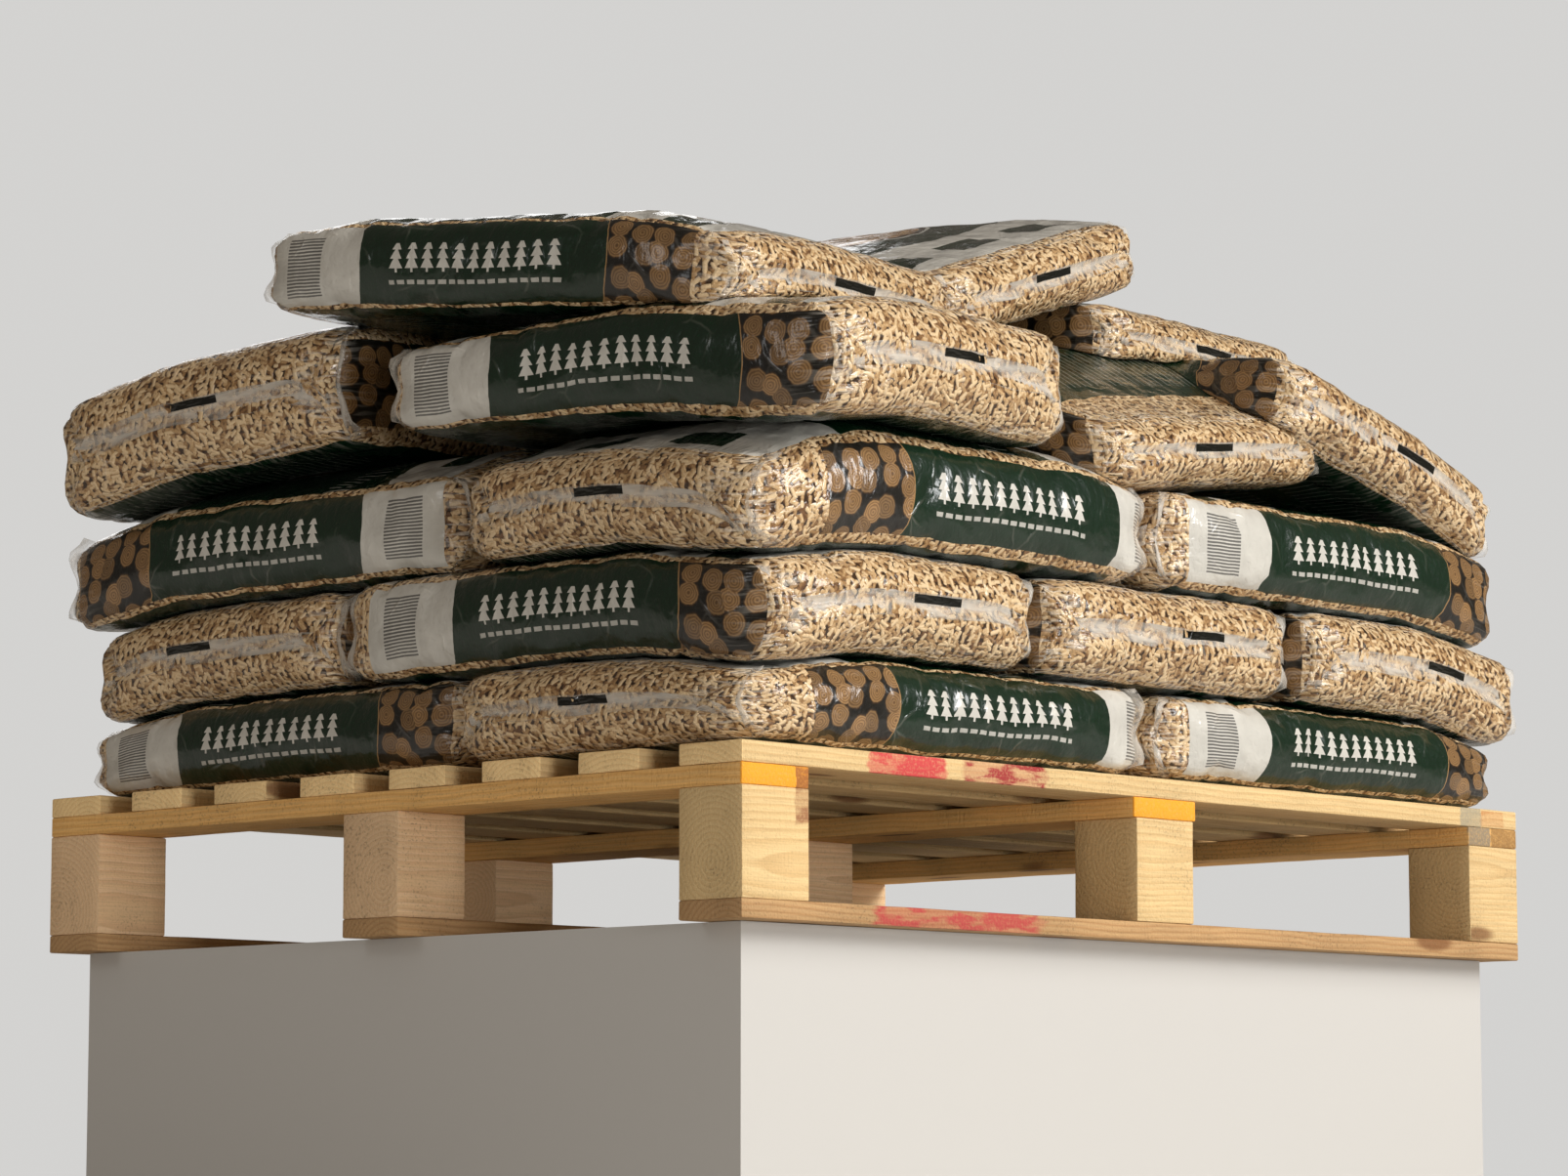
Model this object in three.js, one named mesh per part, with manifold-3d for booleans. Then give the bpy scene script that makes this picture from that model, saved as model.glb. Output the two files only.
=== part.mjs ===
// A timber pallet with clear plastic sacks of wood pellets piled on it, in millimetres, +Z up.
// The origin is the centre of the pallet's underside. +X runs along the 1200 mm side.
import * as THREE from "three";
import { mergeVertices } from "three/addons/utils/BufferGeometryUtils.js";
import Module from "manifold-3d";

// Pallet: bottom boards along X, blocks, stringer boards along Y, deck boards along X
const PALLET_LENGTH = 1200;
const PALLET_WIDTH = 1000;
const BOTTOM_BOARD = { width: 80, thickness: 18 };
const BLOCK = { length: 88, width: 80, height: 102 };
const STRINGER = { thickness: 20, outerWidth: 88, middleWidth: 96 };
const DECK_BOARD = { width: 80, thickness: 20, count: 8 };

// Sack: a side-gusseted tube of film, sealed at both ends and lying flat
const SACK_LENGTH = 592;
const SACK_WIDTH = 396;
const SEAM_RIDGE = 7;
const GRID = { length: 8, width: 6, height: 4 };
const CLEARANCE = 0.4;

// The sacks' edges: a power of six across their thickness and twice that in plan
const ROUNDNESS = 6;

// Edges of the pile hang down a little, most at its four corners
const DROOP = { corner: 21, edge: 4, startX: 400, startY: 300, rise: 99 };

// Where nothing presses on a sack, its top falls towards its ends and sides from here outwards.
// The power blends the falls where an end and a side meet.
const SLUMP = { start: 0.3, blend: 3 };

// Each layer's sacks: centre x and y, underside z, thickness, and turns in degrees.
// At yaw 0 the printed picture end of a sack points to -X. Pitch lifts its picture end.
// Roll lifts its left side. Taper thickens it towards its plain white-panel end.
// Slump is how far its top falls towards its picture end, plain end, right side and left side.
const LAYERS = [
  [
    { place: "front_left", x: -308, y: -302, z: 160, thick: 93 },
    { place: "front_right", x: 290, y: -302, z: 160, thick: 93, yaw: 180 },
    { place: "back_left", x: -375, y: 194, z: 160, thick: 93, yaw: 90 },
    { place: "back_middle", x: 22, y: 196, z: 160, thick: 93, yaw: 90 },
    { place: "back_right", x: 412, y: 195, z: 160, thick: 93, yaw: -90, width: 382 },
  ],
  [
    { place: "front_left", x: -384, y: -216, z: 253, thick: 102, yaw: 90 },
    { place: "front_middle", x: 14, y: -214, z: 253, thick: 101, yaw: 90 },
    { place: "front_right", x: 412, y: -218, z: 253, thick: 101, yaw: 91 },
    { place: "back_left", x: -285, y: 281, z: 253, thick: 100, yaw: 1 },
    { place: "back_right", x: 312, y: 284, z: 253, thick: 101, yaw: 180 },
  ],
  [
    { place: "front_left", x: -306, y: -310, z: 355, thick: 146, slump: [50, 42, 34, 24] },
    { place: "front_right", x: 292, y: -306, z: 354, thick: 104, yaw: 180 },
    { place: "back_left", x: -386, y: 214, z: 354, thick: 134, yaw: -86, slump: [20, 0, 34, 0] },
    { place: "back_middle", x: 16, y: 192, z: 354, thick: 108, yaw: 90 },
    { place: "back_right", x: 414, y: 194, z: 354, thick: 104, yaw: -91 },
  ],
  [
    {
      place: "front_left", x: -385, y: -270, z: 482, thick: 110, yaw: 96, length: 560, taper: -0.18,
      slump: [14, 0, 0, 6],
    },
    {
      place: "front_middle", x: 78, y: -205, z: 466, thick: 158, yaw: 93, roll: -7,
      slump: [86, 20, 4, 30],
    },
    { place: "front_right", x: 384, y: -214, z: 489, thick: 100, yaw: 90, roll: 14, slump: [14, 0, 0, 0] },
    {
      place: "back_left", x: -322, y: 322, z: 486, thick: 142, yaw: 10, roll: -5, taper: -0.08,
      slump: [26, 0, 12, 0],
    },
    { place: "back_right", x: 296, y: 306, z: 463, thick: 108, yaw: 176 },
  ],
  [
    {
      place: "front_left", x: -400, y: -120, z: 600, thick: 104, yaw: 98, pitch: -5.5,
      slump: [18, 18, 12, 12],
    },
    { place: "front_right", x: 236, y: -60, z: 600, thick: 92, yaw: 95, slump: [22, 18, 12, 12] },
    {
      place: "front_middle", x: -52, y: -74, z: 640, thick: 100, yaw: 98, roll: -17,
      slump: [22, 20, 12, 12],
    },
    { place: "back_right", x: 280, y: 310, z: 575, thick: 102, yaw: -4, slump: [18, 18, 12, 12] },
  ],
];

const wasm = await Module();
wasm.setup();
const pallet = new THREE.Group();

const PINE = 0xd9b884;
const SACK_TAN = 0xc8a67c;

function material(color, roughness) {
  return new THREE.MeshStandardMaterial({ color, roughness, metalness: 0 });
}

// A plain sawn board or block, given by its size and the centre of its underside
function addTimber(name, size, x, y, z) {
  const timber = new THREE.Mesh(new THREE.BoxGeometry(...size), material(PINE, 0.85));
  timber.name = name;
  timber.position.set(x, y, z + size[2] / 2);
  pallet.add(timber);
}

function addPallet() {
  const rows = { front: -1, middle: 0, back: 1 };
  const columns = { left: -1, middle: 0, right: 1 };
  const rowSpan = (PALLET_WIDTH - BLOCK.width) / 2;
  const blockZ = BOTTOM_BOARD.thickness;
  const stringerZ = blockZ + BLOCK.height;
  const deckZ = stringerZ + STRINGER.thickness;
  for (const [row, side] of Object.entries(rows)) {
    const size = [PALLET_LENGTH, BOTTOM_BOARD.width, BOTTOM_BOARD.thickness];
    addTimber(`bottom_board_${row}`, size, 0, side * rowSpan, 0);
    for (const [column, hand] of Object.entries(columns)) {
      const x = hand * (PALLET_LENGTH - BLOCK.length) / 2;
      const block = [BLOCK.length, BLOCK.width, BLOCK.height];
      addTimber(`block_${row}_${column}`, block, x, side * rowSpan, blockZ);
    }
  }
  for (const [column, hand] of Object.entries(columns)) {
    const width = hand === 0 ? STRINGER.middleWidth : STRINGER.outerWidth;
    const x = hand * (PALLET_LENGTH - width) / 2;
    addTimber(`stringer_board_${column}`, [width, PALLET_WIDTH, STRINGER.thickness], x, 0, stringerZ);
  }
  const pitch = (PALLET_WIDTH - DECK_BOARD.width) / (DECK_BOARD.count - 1);
  for (let i = 0; i < DECK_BOARD.count; i += 1) {
    const y = (i - (DECK_BOARD.count - 1) / 2) * pitch;
    const size = [PALLET_LENGTH, DECK_BOARD.width, DECK_BOARD.thickness];
    addTimber(`deck_board_${i + 1}`, size, 0, y, deckZ);
  }
  return deckZ + DECK_BOARD.thickness;
}

// Spreads evenly spaced grid lines so that they lie closer near the edges
function towardsEdges(t) {
  return Math.sin(t * Math.PI / 2);
}

function smoothStep(from, to, value) {
  return THREE.MathUtils.smoothstep(value, from, to);
}

// How far a sack's top has fallen at a place from -1 to 1 along and across it
function slumpAt(falls, along, across) {
  const ways = [-along, along, -across, across];
  const parts = falls.map((most, i) => most * smoothStep(SLUMP.start, 1, ways[i]));
  return parts.reduce((sum, part) => sum + part ** SLUMP.blend, 0) ** (1 / SLUMP.blend);
}

// A filled sack about its own centre: a rounded box whose ends are pinched to a low seam ridge
function sackShape(sack, grow) {
  const box = new THREE.BoxGeometry(2, 2, 2, GRID.length, GRID.width, GRID.height);
  box.deleteAttribute("normal");
  box.deleteAttribute("uv");
  box.clearGroups();
  const shape = mergeVertices(box);
  const points = shape.attributes.position;
  const half = new THREE.Vector3(
    (sack.length ?? SACK_LENGTH) / 2 + grow,
    (sack.width ?? SACK_WIDTH) / 2 + grow,
    sack.thick / 2 + grow,
  );
  const corner = new THREE.Vector3();
  for (let i = 0; i < points.count; i += 1) {
    const [a, b, c] = corner.fromBufferAttribute(points, i).toArray().map(towardsEdges);
    const plan = a ** (2 * ROUNDNESS) + b ** (2 * ROUNDNESS);
    const rise = Math.abs(c) ** ROUNDNESS;
    const root = plan > 0 ? (Math.sqrt(rise * rise + 4 * plan) - rise) / (2 * plan) : 1;
    const scale = root ** (1 / ROUNDNESS);
    const ridge = c === 0 && Math.abs(a) === 1 ? SEAM_RIDGE * a * (1 - b ** 4) : 0;
    const fullness = 1 + (sack.taper ?? 0) * scale * a;
    const sink = slumpAt(sack.slump ?? [0, 0, 0, 0], scale * a, scale * b) * (1 + scale * c) / 2;
    points.setXYZ(i, scale * a * half.x + ridge, scale * b * half.y, scale * c * half.z * fullness - sink);
  }
  return shape;
}

// Lowers points towards the pile's edges and corners, and not at all on the deck
function droop(points, deck) {
  for (let i = 0; i < points.count; i += 1) {
    const z = points.getZ(i);
    const outX = smoothStep(DROOP.startX, PALLET_LENGTH / 2, Math.abs(points.getX(i)));
    const outY = smoothStep(DROOP.startY, PALLET_WIDTH / 2, Math.abs(points.getY(i)));
    const drop = DROOP.corner * outX * outY + DROOP.edge * Math.max(outX, outY);
    points.setZ(i, z - drop * smoothStep(0, DROOP.rise, z - deck));
  }
}

function toSolid(geometry) {
  return new wasm.Manifold(new wasm.Mesh({
    numProp: 3,
    vertProperties: new Float32Array(geometry.attributes.position.array),
    triVerts: new Uint32Array(geometry.index.array),
  }));
}

function toGeometry(solid) {
  const mesh = solid.getMesh();
  const geometry = new THREE.BufferGeometry();
  geometry.setAttribute("position", new THREE.BufferAttribute(mesh.vertProperties, 3));
  geometry.setIndex(new THREE.BufferAttribute(mesh.triVerts, 1));
  return geometry;
}

// The sack in the pile's own space, grown on all sides by the given amount
function placedSack(sack, matrix, deck, grow) {
  const shape = sackShape(sack, grow);
  shape.applyMatrix4(matrix);
  droop(shape.attributes.position, deck);
  return toSolid(shape);
}

// Two boxes that share some space
function boxesMeet(a, b) {
  return [0, 1, 2].every((axis) => a.min[axis] < b.max[axis] && b.min[axis] < a.max[axis]);
}

// Lays the sacks from the deck up, and hollows each one where it rests on those already there
function addSacks(deck) {
  const laid = [];
  LAYERS.forEach((layer, index) => {
    for (const sack of layer) {
      const mesh = new THREE.Mesh(undefined, material(SACK_TAN, 0.5));
      const turns = [sack.roll ?? 0, sack.pitch ?? 0, sack.yaw ?? 0].map(THREE.MathUtils.degToRad);
      mesh.name = `sack_${index + 1}_${sack.place}`;
      mesh.position.set(sack.x, sack.y, sack.z + sack.thick / 2 + CLEARANCE);
      mesh.rotation.set(...turns, "ZYX");
      mesh.updateMatrix();
      let solid = placedSack(sack, mesh.matrix, deck, 0);
      for (const lower of laid) {
        if (boxesMeet(solid.boundingBox(), lower.boundingBox())) {
          solid = solid.subtract(lower);
        }
      }
      laid.push(placedSack(sack, mesh.matrix, deck, CLEARANCE));
      mesh.geometry = toGeometry(solid).applyMatrix4(mesh.matrix.clone().invert());
      pallet.add(mesh);
    }
  });
}

addSacks(addPallet());

export default pallet;
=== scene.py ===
"""A sawn timber pallet with a loose load of clear film sacks, filled with wood pellets.

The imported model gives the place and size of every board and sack. Here each board becomes
rough-sawn pine, and each sack becomes inflated, wrinkled film over pellets.
"""
import logging
import math
from dataclasses import dataclass
from enum import Enum

import bmesh
import bpy
import numpy as np
from mathutils import Euler, Matrix, Vector, noise
from mathutils.bvhtree import BVHTree


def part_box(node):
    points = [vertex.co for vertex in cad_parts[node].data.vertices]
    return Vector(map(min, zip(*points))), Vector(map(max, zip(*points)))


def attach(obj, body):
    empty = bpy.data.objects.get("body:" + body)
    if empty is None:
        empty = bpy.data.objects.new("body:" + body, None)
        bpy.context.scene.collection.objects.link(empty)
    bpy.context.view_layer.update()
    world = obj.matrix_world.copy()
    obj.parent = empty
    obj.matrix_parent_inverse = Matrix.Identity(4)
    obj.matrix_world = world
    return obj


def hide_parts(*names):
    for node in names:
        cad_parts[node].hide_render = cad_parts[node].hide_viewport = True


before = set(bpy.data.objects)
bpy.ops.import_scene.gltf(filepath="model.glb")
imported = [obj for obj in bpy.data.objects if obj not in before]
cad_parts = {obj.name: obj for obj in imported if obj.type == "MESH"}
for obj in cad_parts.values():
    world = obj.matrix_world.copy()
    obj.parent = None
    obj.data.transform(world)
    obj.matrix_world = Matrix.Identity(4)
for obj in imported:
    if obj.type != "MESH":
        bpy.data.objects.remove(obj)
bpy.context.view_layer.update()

LOG = logging.getLogger("pallet_of_sacks")
BODY = "root"
MM = 0.001
SLUMP_START, SLUMP_BLEND = 0.3, 3     # the source's own values for how a sack's top falls
NOISE_SEED = 4     # without it mathutils.noise starts from the clock


class Slot(Enum):
    """Names for two finishes, one for the pallet's timber and one for the sacks' film."""

    TIMBER = "pallet_timber"
    FILM = "sack_film"


class Panel(Enum):
    """The parts of a sack's surface, in the order of its material slots."""

    SIDE = 0
    MAIN = 1
    END = 2
    SEAM = 3
    BACK = 4


def linear(hex_colour: str) -> tuple[float, float, float, float]:
    """Turns an sRGB colour into linear red, green, blue and alpha.

    Args:
        hex_colour: six digits after a #.

    Returns:
        Four numbers for a colour socket.
    """
    levels = [int(hex_colour[i:i + 2], 16) / 255 for i in (1, 3, 5)]
    bent = [v / 12.92 if v <= 0.04045 else ((v + 0.055) / 1.055) ** 2.4 for v in levels]
    return (*bent, 1.0)


def plug(tree: bpy.types.NodeTree, socket: bpy.types.NodeSocket, value) -> None:
    """Links a socket or sets its value.

    Args:
        tree: the socket's node tree.
        socket: the input.
        value: a plain value, a socket or a node, which stands for its first output.
    """
    source = value.outputs[0] if isinstance(value, bpy.types.Node) else value
    if isinstance(source, bpy.types.NodeSocket):
        tree.links.new(source, socket)
    else:
        socket.default_value = source


def add_node(tree: bpy.types.NodeTree, kind: str, inputs=(), **settings) -> bpy.types.Node:
    """Adds a shader node, with its settings and inputs.

    Args:
        tree: the material's or world's node tree.
        kind: the node's type, without the word ShaderNode.
        inputs: values, sockets or nodes (their first output), in order or by socket name.
        settings: properties of the node.

    Returns:
        The new node.
    """
    made = tree.nodes.new("ShaderNode" + kind)
    for name, value in settings.items():
        setattr(made, name, value)
    pairs = inputs.items() if isinstance(inputs, dict) else enumerate(inputs)
    for name, value in pairs:
        if value is not None:
            plug(tree, made.inputs[name], value)
    return made


def add_chain(tree: bpy.types.NodeTree, kind: str, start, *steps) -> bpy.types.Node:
    """Adds nodes of one kind in a row, each fed by the one before.

    Args:
        tree: the material's node tree.
        kind: the nodes' type, without the word ShaderNode.
        start: what feeds the first node.
        steps: for each node its operation and its further inputs.

    Returns:
        The last node.
    """
    for operation, *others in steps:
        start = add_node(tree, kind, (start, *others), operation=operation)
    return start


def set_ramp(ramp: bpy.types.Node, stops: list[tuple[float, str]]) -> None:
    """Gives a colour ramp its stops.

    Args:
        ramp: the colour ramp node.
        stops: each stop's place from 0 to 1 and its sRGB colour.
    """
    elements = ramp.color_ramp.elements
    while len(elements) < len(stops):
        elements.new(0.5)
    for element, (place, hex_colour) in zip(elements, stops):
        element.position = place
        element.color = linear(hex_colour)


def new_material(name: str) -> tuple[bpy.types.Material, bpy.types.NodeTree, bpy.types.Node]:
    """Makes a node material with its output.

    Args:
        name: what the real material is.

    Returns:
        The material, its node tree and its Principled shader.
    """
    material = bpy.data.materials.new(name)
    material.use_nodes = True
    tree = material.node_tree
    tree.nodes.clear()
    output = add_node(tree, "OutputMaterial")
    shader = add_node(tree, "BsdfPrincipled")
    tree.links.new(shader.outputs[0], output.inputs[0])
    return material, tree, shader


def feed(tree: bpy.types.NodeTree, shader: bpy.types.Node, **inputs) -> None:
    """Sets or links inputs of a shader.

    Args:
        tree: the shader's node tree.
        shader: the shader node.
        inputs: values, sockets or nodes by socket name, with _ for a space.
    """
    for name, value in inputs.items():
        plug(tree, shader.inputs[name.replace("_", " ")], value)


def new_piece(name: str, mesh: bpy.types.Mesh) -> bpy.types.Object:
    """Puts a mesh in the scene, at the origin.

    Args:
        name: the piece's name.
        mesh: its mesh.

    Returns:
        The piece.
    """
    piece = bpy.data.objects.new(name, mesh)
    bpy.context.scene.collection.objects.link(piece)
    return piece


@dataclass(frozen=True)
class PelletFill:
    """Softwood pellets, pressed through a die and broken off, lying flat behind the film.

    They look like short matt rods, tan to cream, with dark gaps between them; the dark in the gaps is
    painted shade.
    """

    radius: float = 2.6 * MM
    shortest: float = 8 * MM
    longest: float = 21 * MM
    cell: float = 9.3 * MM
    layers: int = 5
    end_bluntness: float = 2.5
    # The colour of the painted shade between the pellets.
    gap_shade: str = "#38230f"
    tones: tuple[str, ...] = ("#704c2d", "#98744a", "#bd9a6d", "#e0c49a")

    def add_layer(self, tree: bpy.types.NodeTree, place: bpy.types.NodeSocket, index: int) -> tuple:
        """Scatters one layer of pellets that don't cross each other.

        Args:
            tree: the material's node tree.
            place: film coordinates in metres.
            index: the layer's number, which shifts its pattern.

        Returns:
            The height above the gap in metres, and a random tone from 0 to 1.
        """
        shift = (0.0373 * index, 0.0517 * index, 0.0)
        spot = add_node(tree, "VectorMath", (place, shift), operation="ADD")
        cell = add_node(
            tree, "TexVoronoi", {"Vector": spot, "Scale": 1 / self.cell, "Randomness": 0.82},
            voronoi_dimensions="2D",
        )
        away = add_node(
            tree, "VectorMath", (spot, cell.outputs["Position"]), operation="SUBTRACT"
        )
        random = add_node(tree, "SeparateColor", (cell.outputs["Color"],))
        turn = add_node(tree, "Math", (random.outputs[0], math.pi), operation="MULTIPLY")
        turned = add_node(
            tree, "VectorRotate", {"Vector": away, "Angle": turn}, rotation_type="Z_AXIS"
        )
        axes = add_node(tree, "SeparateXYZ", (turned,))
        along = add_node(tree, "Math", (axes.outputs[0],), operation="ABSOLUTE")
        least = self.shortest / 2 - self.radius
        spare = (self.longest - self.shortest) / 2
        half = add_node(
            tree, "Math", (random.outputs[1], spare, least), operation="MULTIPLY_ADD"
        )
        past = add_chain(tree, "Math", along, ("SUBTRACT", half), ("MAXIMUM", 0.0))
        past = add_chain(tree, "Math", past, ("MULTIPLY", past), ("MULTIPLY", self.end_bluntness))
        across = axes.outputs[1]
        spread = add_node(tree, "Math", (across, across, past), operation="MULTIPLY_ADD")
        room = add_chain(tree, "Math", self.radius ** 2, ("SUBTRACT", spread), ("MAXIMUM", 0.0))
        round_top = add_node(tree, "Math", (room, 0.5), operation="POWER")
        rank = add_node(tree, "Math", (random.outputs[2], 0.6, 0.55), operation="MULTIPLY_ADD")
        height = add_node(tree, "Math", (round_top, rank), operation="MULTIPLY")
        return height, random.outputs[2]

    def add_to(self, tree: bpy.types.NodeTree, place: bpy.types.NodeSocket) -> tuple:
        """Heaps the layers over each other.

        Args:
            tree: the material's node tree.
            place: film coordinates in metres.

        Returns:
            The height in metres and the pellets' colour.
        """
        height, tone = self.add_layer(tree, place, 0)
        for index in range(1, self.layers):
            other, other_tone = self.add_layer(tree, place, index)
            above = add_node(tree, "Math", (other, height), operation="GREATER_THAN")
            tone = add_node(tree, "Mix", {0: above, 2: tone, 3: other_tone})
            height = add_node(tree, "Math", (other, height), operation="MAXIMUM")
        grain = add_node(
            tree, "TexNoise", {"Vector": place, "Scale": 1 / (2.2 * MM), "Detail": 2.0},
            noise_dimensions="2D",
        )
        mottled = add_chain(tree, "Math", grain, ("MULTIPLY_ADD", 0.5, tone), ("SUBTRACT", 0.25))
        ramp = add_node(tree, "ValToRGB", (mottled,))
        set_ramp(ramp, [(i / 3 * 0.8 + 0.1, tone) for i, tone in enumerate(self.tones)])
        # Painted shade: where the pellets lie low, their colour goes towards the dark gap colour.
        shown = add_node(
            tree, "MapRange", (height, 0.5 * MM, 1.9 * MM), interpolation_type="SMOOTHSTEP"
        )
        colour = add_node(
            tree, "Mix", {0: shown, 6: linear(self.gap_shade), 7: ramp}, data_type="RGBA"
        )
        return height, colour.outputs[2]


@dataclass(frozen=True)
class Ink:
    """The opaque inks printed on the film: flat colours with a soft sheen."""

    green: str = "#02230f"
    brown: str = "#6a4c2e"
    tan: str = "#a07c50"
    bark: str = "#3d2917"
    white: str = "#d0cdc4"
    grey: str = "#6a6864"


@dataclass(frozen=True)
class SidePrint:
    """The printed band on a sack's two long sides, in metres along and up the film.

    From the picture end it has a brown panel of log ends, a green panel with a row of
    small trees over a dashed line, and a white panel with a block of stripes.
    """

    half_height: float = 45 * MM
    brown: float = 105 * MM
    green: float = 410 * MM
    white: float = 525 * MM
    bulge: float = 11 * MM

    def add_to(self, tree: bpy.types.NodeTree, film: bpy.types.NodeSocket, ink: Ink) -> tuple:
        """Draws the band.

        Args:
            tree: the material's node tree.
            film: film coordinates, with 1 m added to the height on the sack's left side.
            ink: the inks.

        Returns:
            The ink's colour and where there is ink, from 0 to 1.
        """
        axes = add_node(tree, "SeparateXYZ", (film,))
        along = axes.outputs[0]
        left = add_node(tree, "Math", (axes.outputs[1], 0.5), operation="GREATER_THAN")
        up = add_node(tree, "Math", (axes.outputs[1], left), operation="SUBTRACT")
        hand = add_node(tree, "Math", (left, -2.0, 1.0), operation="MULTIPLY_ADD")
        share = add_node(tree, "Math", (up, 1 / self.half_height), operation="MULTIPLY")
        square = add_node(tree, "Math", (share, share), operation="MULTIPLY")
        arc = add_chain(tree, "Math", 1.0, ("SUBTRACT", square), ("MULTIPLY", hand))
        bent = add_node(tree, "Math", (arc, -self.bulge, along), operation="MULTIPLY_ADD")

        colour = self.add_log_ends(tree, along, up, ink)
        in_green = add_node(tree, "Math", (bent, self.brown), operation="GREATER_THAN")
        green = self.add_trees(tree, along, up, ink)
        colour = add_node(tree, "Mix", {0: in_green, 6: colour, 7: green}, data_type="RGBA")
        edge = add_node(tree, "Math", (bent, self.brown, 0.7 * MM), operation="COMPARE")
        colour = add_node(
            tree, "Mix", {0: edge, 6: colour.outputs[2], 7: linear(ink.tan)}, data_type="RGBA"
        )
        in_white = add_node(tree, "Math", (bent, self.green), operation="GREATER_THAN")
        white = self.add_stripes(tree, along, up, ink)
        colour = add_node(
            tree, "Mix", {0: in_white, 6: colour.outputs[2], 7: white}, data_type="RGBA"
        )
        level = add_node(tree, "Math", (share,), operation="ABSOLUTE")
        tall = add_node(tree, "Math", (level, 1.0), operation="LESS_THAN")
        start = add_node(tree, "Math", (along, 0.0), operation="GREATER_THAN")
        stop = add_node(tree, "Math", (along, self.white), operation="LESS_THAN")
        inked = add_chain(tree, "Math", tall, ("MULTIPLY", start), ("MULTIPLY", stop))
        return colour.outputs[2], inked

    def add_log_ends(self, tree: bpy.types.NodeTree, along, up, ink: Ink) -> bpy.types.NodeSocket:
        """Draws stacked log ends with their rings.

        Args:
            tree: the material's node tree.
            along: distance along the film.
            up: height from the band's middle.
            ink: the inks.

        Returns:
            The colour.
        """
        spot = add_node(tree, "CombineXYZ", (along, up, 0.0))
        log = add_node(
            tree, "TexVoronoi", {"Vector": spot, "Scale": 1 / (25 * MM), "Randomness": 0.5},
            voronoi_dimensions="2D",
        )
        wobble = add_node(
            tree, "TexNoise", {"Vector": spot, "Scale": 1 / (9 * MM)}, noise_dimensions="2D"
        )
        reach = add_node(
            tree, "Math", (wobble, 0.14, log.outputs["Distance"]), operation="MULTIPLY_ADD"
        )
        wood = add_node(tree, "ValToRGB", (reach,))
        rings = (ink.brown, ink.tan)
        set_ramp(wood, [(0.1 + i * 0.055, rings[i % 2]) for i in range(8)] + [
            (0.54, ink.bark), (0.6, "#17140e"),
        ])
        tone = add_node(tree, "SeparateColor", (log.outputs["Color"],))
        tint = add_node(tree, "MapRange", (tone, 0.0, 1.0, 0.62, 1.15))
        colour = add_node(tree, "VectorMath", {0: wood, "Scale": tint}, operation="SCALE")
        return colour.outputs[0]

    def add_trees(self, tree: bpy.types.NodeTree, along, up, ink: Ink) -> bpy.types.NodeSocket:
        """Draws the green panel with its row of fir trees and the dashes below them.

        Args:
            tree: the material's node tree.
            along: distance along the film.
            up: height from the band's middle.
            ink: the inks.

        Returns:
            The colour.
        """
        count, pitch, tall, top = 11, 19.5 * MM, 30 * MM, 22 * MM
        first, last = 150 * MM, 150 * MM + count * pitch
        share = add_node(tree, "Math", (along, 1 / pitch, -first / pitch), operation="MULTIPLY_ADD")
        cell = add_node(tree, "Math", (share,), operation="FRACT")
        aside = add_chain(tree, "Math", cell, ("SUBTRACT", 0.5), ("ABSOLUTE",))
        depth = add_node(tree, "Math", (up, -1 / tall, top / tall), operation="MULTIPLY_ADD")
        tiers = add_node(tree, "Math", (depth, 3.3), operation="MULTIPLY")
        tier = add_node(tree, "Math", (tiers,), operation="FRACT")
        spread = add_node(tree, "Math", (tier, 0.22, 0.02), operation="MULTIPLY_ADD")
        spread = add_node(tree, "Math", (depth, 0.2, spread), operation="MULTIPLY_ADD")
        bough = add_node(tree, "Math", (aside, spread), operation="LESS_THAN")
        crown = add_node(tree, "Math", (depth, 0.5, 0.41), operation="COMPARE")
        bough = add_node(tree, "Math", (bough, crown), operation="MULTIPLY")
        trunk = add_node(tree, "Math", (aside, 0.07), operation="LESS_THAN")
        low = add_node(tree, "Math", (depth, 0.95, 0.09), operation="COMPARE")
        trunk = add_node(tree, "Math", (trunk, low), operation="MULTIPLY")
        figure = add_node(tree, "Math", (bough, trunk), operation="MAXIMUM")

        dash = add_chain(tree, "Math", share, ("MULTIPLY", 1.5), ("FRACT",), ("LESS_THAN", 0.72))
        line = add_node(tree, "Math", (up, -19 * MM, 2.2 * MM), operation="COMPARE")
        dash = add_chain(tree, "Math", dash, ("MULTIPLY", line), ("MULTIPLY", 0.75))
        figure = add_node(tree, "Math", (figure, dash), operation="MAXIMUM")

        middle, half = (first + last) / 2, (last - first) / 2
        inside = add_node(tree, "Math", (along, middle, half), operation="COMPARE")
        figure = add_node(tree, "Math", (figure, inside), operation="MULTIPLY")
        colour = add_node(
            tree, "Mix", {0: figure, 6: linear(ink.green), 7: linear(ink.white)}, data_type="RGBA"
        )
        return colour.outputs[2]

    def add_stripes(self, tree: bpy.types.NodeTree, along, up, ink: Ink) -> bpy.types.NodeSocket:
        """Draws the white panel with its block of plain even stripes.

        Args:
            tree: the material's node tree.
            along: distance along the film.
            up: height from the band's middle.
            ink: the inks.

        Returns:
            The colour.
        """
        pitch = 3.4 * MM
        wave = add_chain(tree, "Math", up, ("MULTIPLY", 1 / pitch), ("FRACT",))
        bar = add_node(tree, "Math", (wave, 0.58), operation="LESS_THAN")
        middle, half = self.green + 66 * MM, 24 * MM
        wide = add_node(tree, "Math", (along, middle, half), operation="COMPARE")
        tall = add_node(tree, "Math", (up, 0.0, 9 * pitch), operation="COMPARE")
        bar = add_chain(tree, "Math", bar, ("MULTIPLY", wide), ("MULTIPLY", tall))
        colour = add_node(
            tree, "Mix", {0: bar, 6: linear(ink.white), 7: linear(ink.grey)}, data_type="RGBA"
        )
        return colour.outputs[2]


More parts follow.
